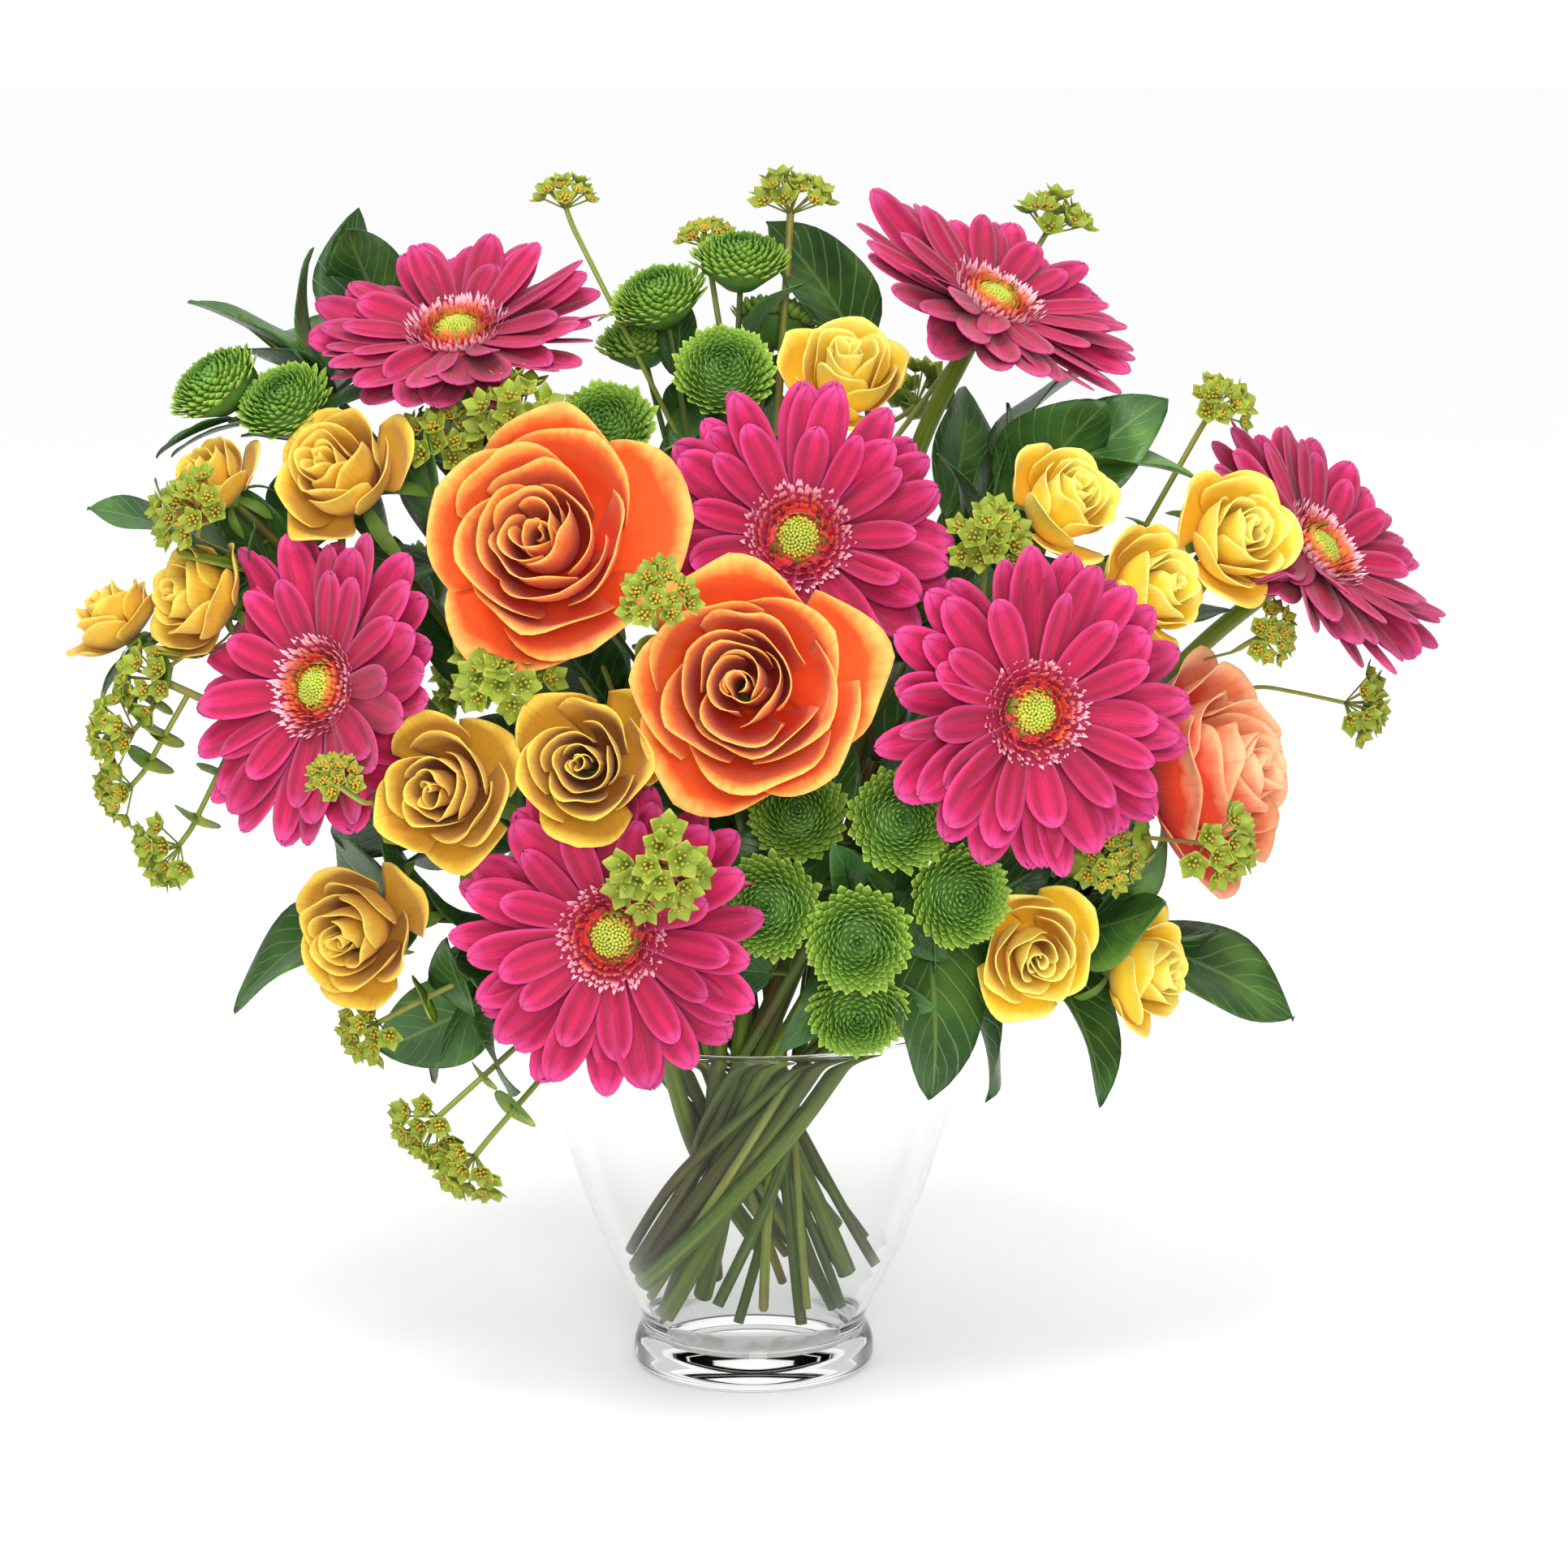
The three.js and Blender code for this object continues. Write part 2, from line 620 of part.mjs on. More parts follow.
// Each head as the room that other plants' stems keep out of: all points nearer than a radius to
// a disc. A gerbera is wide and thin, and the other flowers are nearly balls. Leaves give way.
const obstacles = plants
  .filter((plant) => plant.kind !== "leaf")
  .flatMap((plant) =>
    plant.tips.map((spec) => {
      const axis = direction(spec);
      const wide = plant.size.radius * (spec.size ?? 1);
      const [disc, radius] = plant.kind === "gerbera" ? [wide - 8, 9] : [0.3 * wide, 0.72 * wide];
      return { plant, axis, disc, radius, at: point(spec.at).addScaledVector(axis, 2) };
    }),
  );

// Steep plants cross the waist near its middle, and low ones round its edge.
function lean(plant) {
  const out = middleOf(plant.tips.map((spec) => point(spec.at))).sub(MOUTH);
  return Math.hypot(out.x, out.y) / out.length();
}
const byLean = [...plants].sort((a, b) => lean(a) - lean(b));
const stems = plants.flatMap((plant) => {
  const index = byLean.indexOf(plant);
  return stemsOf(plant, (index + 0.5) / plants.length, index);
});
settle(stems);

// The branches of a spray leave its stem one below another.
for (const branch of stems.filter((stem) => !stem.main)) {
  const { path } = stems.find((stem) => stem.main && stem.plant === branch.plant);
  branch.path[0] = path.at(-1).clone().lerp(path.at(-2), branch.root);
}

// ---------- Nodes ----------

function stemSolids(plant, grow) {
  const own = stems.filter((stem) => stem.plant === plant);
  return own.map((stem) =>
    stem.main
      ? bar(stem.path, stem.radius + grow, STEM_SIDES, STEM_STEPS)
      : bar(stem.path, stem.radius + grow, BRANCH_SIDES, stem.steps),
  );
}

const headSolid = (plant, spec, grow) =>
  HEADS[plant.kind].solid(spec.size ?? 1, grow).transform(placement(spec).toArray());

// Every node has a function that builds its solid, a little larger all round if asked.
const join = (solids) => wasm.Manifold.union(solids);
const stemNodes = plants.filter(hasOwnHeads).map((plant) => ({
  name: `${plant.name}_stem`,
  material: FINISH.stem,
  build: (grow) => join(stemSolids(plant, grow)),
}));
const flowers = plants.filter(hasOwnHeads).flatMap((plant) => plant.tips.map((spec) => [plant, spec]));
const headNodes = flowers.map(([plant, spec]) => {
  const yellow = flowers.filter(([{ kind }]) => kind === "yellowRose").findIndex(([, s]) => s === spec);
  return {
    name: yellow < 0 ? `${plant.name}_head` : `yellow_rose_${yellow + 1}`,
    material: FINISH[plant.kind],
    matrix: placement(spec),
    build: (grow) => headSolid(plant, spec, grow),
  };
});
const sprayNodes = plants.filter((plant) => !hasOwnHeads(plant)).map((plant) => ({
  name: plant.name,
  material: FINISH[plant.kind],
  build: (grow) =>
    join([...stemSolids(plant, grow), ...plant.tips.map((spec) => headSolid(plant, spec, grow))]),
}));
const vaseNode = { name: "vase", material: FINISH.glass, build: vaseSolid };

// Where two pieces touch, the later one gives way, with a gap. A corner cut off it is left out.
const bouquet = new THREE.Group();
const made = [];
for (const node of [vaseNode, ...stemNodes, ...headNodes, ...sprayNodes]) {
  let solid = node.build(0);
  for (const earlier of made)
    if (solid.intersect(earlier.solid).volume() > 0.001) solid = solid.subtract(earlier.node.build(GAP));
  const pieces = solid.decompose();
  solid = pieces.reduce((most, piece) => (piece.volume() > most.volume() ? piece : most));
  made.push({ node, solid });

  const mesh = new THREE.Mesh(undefined, node.material);
  mesh.name = node.name;
  const place = node.matrix ?? new THREE.Matrix4();
  mesh.geometry = geometryOf(solid.transform(place.clone().invert().toArray()));
  mesh.applyMatrix4(place);
  bouquet.add(mesh);
}

export default bouquet;
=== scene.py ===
"""A mixed bouquet in a clear glass vase: pink gerberas, orange roses, yellow spray roses, green
button chrysanthemums, bupleurum and lemon leaf. Every flower, stem and leaf grows where its CAD
solid stands: the solids are read for their middle lines, places, facings and sizes."""

import bpy
import numpy as np
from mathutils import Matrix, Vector
from mathutils.bvhtree import BVHTree


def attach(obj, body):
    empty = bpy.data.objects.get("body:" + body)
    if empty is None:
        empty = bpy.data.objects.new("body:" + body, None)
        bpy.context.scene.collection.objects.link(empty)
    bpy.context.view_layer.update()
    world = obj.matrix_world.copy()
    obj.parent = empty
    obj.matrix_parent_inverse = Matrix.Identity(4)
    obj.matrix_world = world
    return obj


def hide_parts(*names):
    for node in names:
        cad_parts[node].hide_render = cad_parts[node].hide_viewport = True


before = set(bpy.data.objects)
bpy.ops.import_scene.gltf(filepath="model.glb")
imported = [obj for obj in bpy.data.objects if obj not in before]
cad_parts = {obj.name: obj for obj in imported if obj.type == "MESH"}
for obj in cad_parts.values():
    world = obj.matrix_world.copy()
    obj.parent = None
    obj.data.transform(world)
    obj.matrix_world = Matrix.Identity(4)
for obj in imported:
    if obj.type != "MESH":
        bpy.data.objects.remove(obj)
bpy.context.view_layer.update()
MM = 0.001
TAU = 2 * np.pi

# ------------------------------------------------------------------------------------------------
# The vase: one piece of clear soda glass, blown into a mould. It has a thick solid foot, a wall of
# even thickness that widens to the mouth, and a rim that was melted round.
# ------------------------------------------------------------------------------------------------


def solid_corners(node):
    """A CAD node's corners, with those in one place made one, and its triangles."""
    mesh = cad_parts[node].data
    places = np.empty(len(mesh.vertices) * 3, np.float32)
    mesh.vertices.foreach_get("co", places)
    loops = np.empty(len(mesh.loops), np.int32)
    mesh.loops.foreach_get("vertex_index", loops)
    corners, same = np.unique(places.reshape(-1, 3).round(5), axis=0, return_inverse=True)
    return corners.astype(float), same.ravel()[loops].reshape(-1, 3)


def new_piece(name, corners, faces, material, uv=None, tint=None):
    """A smooth mesh piece. faces is a list of arrays, each holding faces with one number of
    corners; uv and tint are given for each corner. It rides with the vase."""
    mesh = bpy.data.meshes.new(name)
    mesh.vertices.add(len(corners))
    mesh.vertices.foreach_set("co", corners.astype(np.float32).ravel())
    loops = np.concatenate([f.ravel() for f in faces]).astype(np.int32)
    sizes = np.concatenate([np.full(len(f), f.shape[1]) for f in faces])
    mesh.loops.add(len(loops))
    mesh.loops.foreach_set("vertex_index", loops)
    mesh.polygons.add(len(sizes))
    mesh.polygons.foreach_set("loop_start", (np.cumsum(sizes) - sizes).astype(np.int32))
    if uv is not None:
        layer = mesh.uv_layers.new(name="UVMap")
        layer.data.foreach_set("uv", uv[loops].astype(np.float32).ravel())
    if tint is not None:
        layer = mesh.attributes.new("tint", "FLOAT", "POINT")
        layer.data.foreach_set("value", tint.astype(np.float32).ravel())
    mesh.update(calc_edges=True)
    mesh.validate()
    mesh.shade_smooth()
    mesh.materials.append(material)
    piece = bpy.data.objects.new(name, mesh)
    bpy.context.scene.collection.objects.link(piece)
    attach(piece, "root")
    return piece


def turned_surface(profile, sides):
    """A profile of (radius, height) rows turned about +Z. A row on the axis is a single pole.
    Returns corners, faces and uv, with v along the profile."""
    radius, height = np.array(profile, float).T
    angle = np.arange(sides) / sides * TAU
    rows, v = [], np.linspace(0, 1, len(profile))
    for r, z in zip(radius, height):
        ring = np.stack([r * np.cos(angle), r * np.sin(angle), np.full(sides, z)], -1)
        rows.append(ring if r > 0 else ring[:1])
    first = np.cumsum([0] + [len(row) for row in rows[:-1]])
    here = np.arange(sides)
    after = (here + 1) % sides
    quads, fans = [], []
    for k in range(len(rows) - 1):
        a, b = first[k], first[k + 1]
        if len(rows[k]) == 1:
            fans.append(np.stack([np.full(sides, a), b + after, b + here], -1))
        elif len(rows[k + 1]) == 1:
            fans.append(np.stack([a + here, a + after, np.full(sides, b)], -1))
        else:
            quads.append(np.stack([a + here, a + after, b + after, b + here], -1))
    uv = np.concatenate([
        np.stack([np.arange(len(row)) / sides, np.full(len(row), v[k])], -1)
        for k, row in enumerate(rows)
    ])
    faces = [np.concatenate(group) for group in (quads, fans) if group]
    return np.concatenate(rows), faces, uv


def rounded(points, rounds):
    """Cuts the corners of an outline a few times, which turns them into smooth curves."""
    points = np.array(points, float)
    for _ in range(rounds):
        a, b = points[:-1], points[1:]
        cut = np.stack([0.75 * a + 0.25 * b, 0.25 * a + 0.75 * b], 1).reshape(-1, 2)
        points = np.concatenate([points[:1], cut[1:-1], points[-1:]])
    return points


def colour(code):
    """A colour from its six-figure code, as the linear values that a shader takes."""
    parts = np.array([int(code[i : i + 2], 16) for i in (0, 2, 4)]) / 255
    linear = np.where(parts <= 0.04045, parts / 12.92, ((parts + 0.055) / 1.055) ** 2.4)
    return (*linear.tolist(), 1.0)


def add(tree, kind, inputs=None, **settings):
    """A shader node with its settings. Each input is a plain value or another node's output."""
    made = tree.nodes.new("ShaderNode" + kind)
    for key, value in settings.items():
        setattr(made, key, value)
    for key, value in (inputs or {}).items():
        if isinstance(value, bpy.types.NodeSocket):
            tree.links.new(value, made.inputs[key])
        else:
            made.inputs[key].default_value = value
    return made


def new_material(name, **values):
    """A material with plain values on its shader's own sockets, whose names have _ for a space.
    Returns it, its tree and its shader."""
    material = bpy.data.materials.new(name)
    material.use_nodes = True
    shader = material.node_tree.nodes["Principled BSDF"]
    for key, value in values.items():
        shader.inputs[key.replace("_", " ")].default_value = value
    return material, material.node_tree, shader


glass, tree, shader = new_material(
    "clear_glass", Base_Color=colour("fdfefd"), Roughness=0.01, IOR=1.48, Transmission_Weight=1.0,
    Specular_Tint=(0.25, 0.25, 0.25, 1),
)
place = add(tree, "TexCoord").outputs["Object"]
waves = add(tree, "TexNoise", {"Vector": place, "Scale": 22.0, "Detail": 1.0}).outputs["Fac"]
ripple = add(tree, "Bump", {"Height": waves, "Strength": 0.05, "Distance": 1 * MM})
tree.links.new(ripple.outputs["Normal"], shader.inputs["Normal"])

# The solid's rings of corners give its outside at each height, the wall's thickness at the rim and
# the height of the floor inside. A cubic curve through the outside makes the wall smooth.
corners, _ = solid_corners("vase")
across, level = np.hypot(corners[:, 0], corners[:, 1]), corners[:, 2]
rim_height = level.max()
heights = np.unique(level.round(4))
SAME_RING = 0.2 * MM
outside = np.array([across[np.abs(level - z) < SAME_RING].max() for z in heights])
wall = heights > 15 * MM
curve = np.polyfit(heights[wall], outside[wall], 3)
inside = across[np.abs(level - rim_height) < SAME_RING].min()
thickness = outside[-1] - inside
foot_radius = outside[heights < 12 * MM].max()
floor_height = heights[(heights > 5 * MM) & (heights < 9.5 * MM)].min()

up_wall = np.linspace(heights[wall][0], rim_height - thickness, 22)
outer = np.stack([np.polyval(curve, up_wall), up_wall], -1)
inner = outer[::-1] - [thickness, 0]
lip = [
    outer[-1] + [0.4 * MM, 1.6 * MM],
    outer[-1] + [-0.2 * MM, 3 * MM],
    inner[0] + [0.2 * MM, 3 * MM],
    inner[0] + [-0.4 * MM, 1.6 * MM],
]
foot = [
    [0, 1.6 * MM],
    [foot_radius * 0.5, 1.4 * MM],
    [foot_radius - 7 * MM, 0.5 * MM],
    [foot_radius - 4.5 * MM, 0],
    [foot_radius - 2.5 * MM, 0],
    [foot_radius, 2.5 * MM],
    [foot_radius + 0.2 * MM, 6 * MM],
    [foot_radius - 0.2 * MM, 10 * MM],
]
well = [
    [inner[-1][0] - 0.5 * MM, floor_height + 4 * MM],
    [inner[-1][0] - 4 * MM, floor_height + 0.6 * MM],
    [inner[-1][0] * 0.5, floor_height],
    [0, floor_height - 0.4 * MM],
]
profile = rounded(np.concatenate([foot, outer, lip, inner, well]), 2)
corners, faces, uv = turned_surface(profile, 96)
vase = new_piece("glass_vase", corners, faces, glass, uv)
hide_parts("vase")

# ------------------------------------------------------------------------------------------------
# The stems: fresh green stalks, cut off at the foot. Gerberas have a leafless, fleshy stalk; the
# others are thinner, woodier and browner. Each follows the middle line of its CAD bar.
# ------------------------------------------------------------------------------------------------

STRIDE = 1.6 * MM  # how far a walk along the middle of a bar goes at a time
MOST_STRIDES = 400
WIDEST_STEM = 4.2 * MM  # a wall farther from the middle than this belongs to a fork
WIDEST_BRANCH = 2.6 * MM
WHOLE_AT = (7 * MM, 12 * MM)  # two heights over a stem's foot where nothing has trimmed it
FOOT_BELOW = 5.4 * MM  # how far below the first of them the stalk starts


def walk(solid, start, heading, widest):
    """The middle line of a bar, walked from inside it: a stride along the heading, then to the
    mean of the places where eight rays square to the heading meet the bar's wall. The walk ends
    at the bar's end, or where the wall is farther off than widest, which is a fork.
    Returns the line and the bar's mean radius."""
    line, radii = [start], []
    turns = np.arange(8) / 8 * TAU
    while len(line) < MOST_STRIDES:
        ahead = solid.ray_cast(line[-1], heading, STRIDE)[0]
        if ahead is not None:
            line.append(ahead)
            break
        spot = line[-1] + heading * STRIDE
        side = heading.orthogonal().normalized()
        up = heading.cross(side)
        rays = [side * float(np.cos(a)) + up * float(np.sin(a)) for a in turns]
        hits = [solid.ray_cast(spot, ray, widest)[0] for ray in rays]
        if any(hit is None for hit in hits):
            break
        middle = sum(hits, Vector()) / len(hits)
        radii.append(sum((hit - middle).length for hit in hits) / len(hits))
        heading = (heading + (middle - line[-1]).normalized()).normalized()
        line.append(middle)
    return np.array(line), float(np.mean(radii)) if radii else 0.0


def eased(line, spacing=4 * MM, reach=4):
    """The line at even spacing, with its corners eased by a running mean that keeps the ends."""
    steps = np.linalg.norm(np.diff(line, axis=0), axis=1)
    length = np.concatenate([[0], np.cumsum(steps)])
    count = max(int(length[-1] / spacing), 4)
    even = np.linspace(0, length[-1], count)
    line = np.stack([np.interp(even, length, line[:, k]) for k in range(3)], -1)
    reach = min(reach, count - 1)
    before = 2 * line[0] - line[reach:0:-1]
    after = 2 * line[-1] - line[-2 : -2 - reach : -1]
    long = np.concatenate([before, line, after])
    window = np.ones(2 * reach + 1) / (2 * reach + 1)
    return np.stack([np.convolve(long[:, k], window, "valid") for k in range(3)], -1)


def tube(line, radius, sides):
    """A closed round tube along a line. radius is one number, or one for each point of the line.
    u runs round the tube and v along it, in tenths of a metre."""
    tangent = np.gradient(line, axis=0)
    tangent /= np.linalg.norm(tangent, axis=1, keepdims=True)
    chord = line[-1] - line[0] + [1e-6, 2e-6, 0]
    level_side = np.cross(chord, [0, 0, 1.0])
    level_side /= np.linalg.norm(level_side)
    over = np.cross(tangent, level_side)
    over /= np.linalg.norm(over, axis=1, keepdims=True)
    side = np.cross(over, tangent)
    angle = np.arange(sides) / sides * TAU
    cos, sin = np.cos(angle)[None, :, None], np.sin(angle)[None, :, None]
    spokes = cos * side[:, None] + sin * over[:, None]
    radius = np.broadcast_to(radius, len(line))[:, None, None]
    corners = (line[:, None] + radius * spokes).reshape(-1, 3)
    ring = np.arange(len(line) - 1)[:, None] * sides
    here, after = ring + np.arange(sides), ring + (np.arange(sides) + 1) % sides
    quads = np.stack([here, after, after + sides, here + sides], -1).reshape(-1, 4)
    ends = np.stack([np.arange(sides)[::-1], (len(line) - 1) * sides + np.arange(sides)])
    length = np.concatenate([[0], np.cumsum(np.linalg.norm(np.diff(line, axis=0), axis=1))])
    u, v = np.meshgrid(np.arange(sides) / sides, length * 10)
    return corners, [quads, ends], np.stack([u, v], -1).reshape(-1, 2)


def joined(parts):
    """Several (corners, faces, uv, tint) as one. A tint may be one number for the whole part."""
    corners, faces, uvs, tints, first = [], {}, [], [], 0
    for part_corners, part_faces, uv, tint in parts:
        for group in part_faces:
            faces.setdefault(group.shape[1], []).append(group + first)
        corners.append(part_corners)
        uvs.append(uv)
        tints.append(np.broadcast_to(tint, len(part_corners)))
        first += len(part_corners)
    joined_faces = [np.concatenate(group) for group in faces.values()]
    return np.concatenate(corners), joined_faces, np.concatenate(uvs), np.concatenate(tints)


def edges_of(triangles):
    """The edges of triangles, as pairs of corner numbers, three for each triangle."""
    return triangles[:, [[0, 1], [1, 2], [2, 0]]].reshape(-1, 2)


def middle_at(corners, triangles, height):
    """The middle of the places where a solid's edges rise past a height."""
    ends = corners[edges_of(triangles)]
    low, high = ends[:, 0], ends[:, 1]
    crossing = (low[:, 2] < height) & (high[:, 2] >= height)
    low, high = low[crossing], high[crossing]
    share = (height - low[:, 2]) / (high[:, 2] - low[:, 2])
    return (low + (high - low) * share[:, None]).mean(0)


def main_line(node):
    """A stem's middle line from its foot to its fork or flower, its radius, and the solid. The
    walk starts a little over the foot, which the vase's wall may have trimmed. A bar's flat sides
    lie inside the round stalk, so the stalk is somewhat thicker than they are apart."""
    corners, triangles = solid_corners(node)
    solid = BVHTree.FromPolygons(corners.tolist(), triangles.tolist())
    bottom = corners[:, 2].min()
    start, above = (middle_at(corners, triangles, bottom + up) for up in WHOLE_AT)
    rise = (above - start) / (above - start)[2]
    line, radius = walk(solid, Vector(start), Vector(rise).normalized(), WIDEST_STEM)
    return np.concatenate([[start - rise * FOOT_BELOW], line]), radius * 1.1, solid


def branch_line(solid, start, heading, main):
    """A branch's middle line from its main stem out to its start, and its radius. The walk goes
    from the start down to the fork, and the nearest place on the main stem is joined to it."""
    line, radius = walk(solid, Vector(start), Vector(heading), WIDEST_BRANCH)
    nearest = main[np.argmin(np.linalg.norm(main - line[-1], axis=1))]
    if np.linalg.norm(nearest - line[-1]) > 2 * STRIDE:
        gap = np.linspace(line[-1], nearest, 6)[1:]
        line = np.concatenate([line, gap])
    return line[::-1], radius * 1.04 if radius else 1.0 * MM


def ramp(tree, value, stops):
    """A colour ramp, smooth between (position, colour code) stops. Returns its colour."""
    made = add(tree, "ValToRGB", {"Fac": value})
    elements = made.color_ramp.elements
    made.color_ramp.interpolation = "EASE"
    for position, _ in stops[2:]:
        elements.new(position)
    for element, (position, code) in zip(elements, sorted(stops)):
        element.position = position
        element.color = colour(code)
    return made.outputs["Color"]


def mix(tree, amount, first, second):
    """Two colours mixed: the first where the amount is 0, the second where it is 1."""
    made = add(tree, "Mix", data_type="RGBA")
    for key, value in (("Factor_Float", amount), ("A_Color", first), ("B_Color", second)):
        socket = next(s for s in made.inputs if s.identifier == key)
        if isinstance(value, bpy.types.NodeSocket):
            tree.links.new(value, socket)
        else:
            socket.default_value = value
    return next(s for s in made.outputs if s.identifier == "Result_Color")


def uv_of(tree):
    """A piece's own UV map: X goes across a sheet or round a tube, and Y along it."""
    uv = add(tree, "UVMap", uv_map="UVMap").outputs["UV"]
    return add(tree, "SeparateXYZ", {"Vector": uv}).outputs


def tint_of(tree):
    """The number between 0 and 1 that each stalk, petal, ring or leaf of a piece has."""
    return add(tree, "Attribute", attribute_name="tint").outputs["Fac"]


def calc(tree, operation, *values):
    """The result of one operation on plain values or other nodes' outputs."""
    return add(tree, "Math", dict(enumerate(values)), operation=operation).outputs[0]


def ranged(tree, value, low, high, least=0.0, most=1.0):
    """A value whose range from low to high is stretched to go from least to most, and no
    farther."""
    return add(tree, "MapRange", {
        "Value": value, "From Min": low, "From Max": high, "To Min": least, "To Max": most,
    }).outputs["Result"]


def varied(tree, amount, shade):
    """A colour made darker or lighter. An amount of 1 leaves it as it is."""
    return add(tree, "HueSaturation", {"Value": amount, "Color": shade}).outputs["Color"]


def new_group(name, inputs, outputs):
    """An empty node group with inputs and their defaults, and named outputs. Normal is a vector.
    Returns the group, what it is given, and where its results go."""
    group = bpy.data.node_groups.new(name, "ShaderNodeTree")
    for key, default in inputs.items():
        socket = group.interface.new_socket(key, in_out="INPUT", socket_type="NodeSocketFloat")
        socket.default_value = default
    for key in outputs:
        kind = "NodeSocketVector" if key == "Normal" else "NodeSocketFloat"
        group.interface.new_socket(key, in_out="OUTPUT", socket_type=kind)
    given, out = group.nodes.new("NodeGroupInput"), group.nodes.new("NodeGroupOutput")
    return group, given.outputs, out.inputs


def grouped(tree, group, **values):
    """A node group placed in a material with its own values. Returns its outputs."""
    made = tree.nodes.new("ShaderNodeGroup")
    made.node_tree = group
    for key, value in values.items():
        if isinstance(value, bpy.types.NodeSocket):
            tree.links.new(value, made.inputs[key])
        else:
            made.inputs[key].default_value = value
    return made.outputs


def fibres_group():
    """Fine streaks that run along v, such as the fibres of a stem and the veins of a petal. The
    tint carries each petal or stalk to streaks of its own."""
    group, given, out = new_group("fibres", {"Fineness": 30.0, "Length": 2.0}, ["Streaks"])
    uv = uv_of(group)
    spot = add(group, "CombineXYZ", {
        "X": calc(group, "MULTIPLY", uv["X"], given["Fineness"]),
        "Y": calc(group, "MULTIPLY", uv["Y"], given["Length"]),
        "Z": calc(group, "MULTIPLY", tint_of(group), 37.0),
    })
    noise = add(group, "TexNoise", {"Vector": spot.outputs[0], "Scale": 1.0, "Detail": 3.0})
    group.links.new(ranged(group, noise.outputs["Fac"], 0.3, 0.7), out["Streaks"])
    return group


def mottle_group():
    """Soft patches, a few to each flower or leaf, and a finer grain."""
    group, given, out = new_group("mottle", {"Patches": 60.0}, ["Patches", "Grain"])
    place = add(group, "TexCoord").outputs["Object"]
    for key, scale in (("Patches", given["Patches"]), ("Grain", 900.0)):
        noise = add(group, "TexNoise", {"Vector": place, "Scale": scale, "Detail": 2.0})
        group.links.new(ranged(group, noise.outputs["Fac"], 0.32, 0.68), out[key])
    return group


def skin_group():
    """The relief and the uneven roughness of a plant's skin. The height is its streaks and some
    grain, and Depth is how high that stands."""
    inputs = {"Streaks": 0.5, "Grain": 0.5, "Depth": 0.2 * MM, "Smoothest": 0.4, "Roughest": 0.6}
    group, given, out = new_group("skin", inputs, ["Normal", "Roughness"])
    height = calc(group, "MULTIPLY_ADD", given["Grain"], 0.3, given["Streaks"])
    bump = add(group, "Bump", {"Height": height, "Strength": 0.6, "Distance": given["Depth"]})
    rough = ranged(group, given["Grain"], 0.0, 1.0, given["Smoothest"], given["Roughest"])
    group.links.new(bump.outputs["Normal"], out["Normal"])
    group.links.new(rough, out["Roughness"])
    return group


FIBRES = fibres_group()
MOTTLE = mottle_group()
SKIN = skin_group()


def surface(tree, shader, shade, streaks, grain, depth, smoothest, roughest):
    """Gives a material its colour, and the relief and roughness of its streaks and grain."""
    tree.links.new(shade, shader.inputs["Base Color"])
    skin = grouped(
        tree, SKIN, Streaks=streaks, Grain=grain, Depth=depth,
        Smoothest=smoothest, Roughest=roughest,
    )
    for key in ("Normal", "Roughness"):
        tree.links.new(skin[key], shader.inputs[key])


def stem_material(name, light, dark, flushed):
    """Green stalk: long fibres between a light and a dark green, with flushed patches."""
    material, tree, shader = new_material(name, Specular_IOR_Level=0.4)
    streaks = grouped(tree, FIBRES, Fineness=9.0, Length=1.2)["Streaks"]
    mottle = grouped(tree, MOTTLE, Patches=26.0)
    green = ramp(tree, streaks, [(0.0, dark), (1.0, light)])
    flush = ranged(tree, mottle["Patches"], 0.45, 1.0, 0.0, 0.8)
    shade = mix(tree, flush, green, colour(flushed))
    surface(tree, shader, shade, streaks, mottle["Grain"], 0.25 * MM, 0.38, 0.6)
    return material


FLESHY_STEM = stem_material("gerbera_stem_green", "86992f", "4e6a16", "5f6a22")
WOODY_STEM = stem_material("rose_stem_green", "6c7c24", "37480f", "553521")
SPRIG_STEM = stem_material("sprig_stem_green", "667c24", "364f14", "5c3f26")
LIGHT_STEM = stem_material("bupleurum_stem_green", "a3ad4c", "7a8c34", "93703f")

# ------------------------------------------------------------------------------------------------
# The gerberas. Each head has three whorls of long pink rays, a collar of short narrow florets with
# pale tips, an eye of tiny green buds, and behind them a cup of narrow green bracts on the stalk.
# ------------------------------------------------------------------------------------------------

GOLDEN = np.pi * (3 - np.sqrt(5))  # the turn between one petal and the next in a spiral


def hubs(node, least):
    """Each corner of a CAD node where at least some edges meet, and those edges out from it."""
    corners, triangles = solid_corners(node)
    edges = np.unique(np.sort(edges_of(triangles), axis=1), axis=0)
    for hub in np.flatnonzero(np.bincount(edges.ravel()) >= least):
        others = edges[(edges == hub).any(1)].sum(1) - hub
        yield corners[hub], corners[others] - corners[hub]


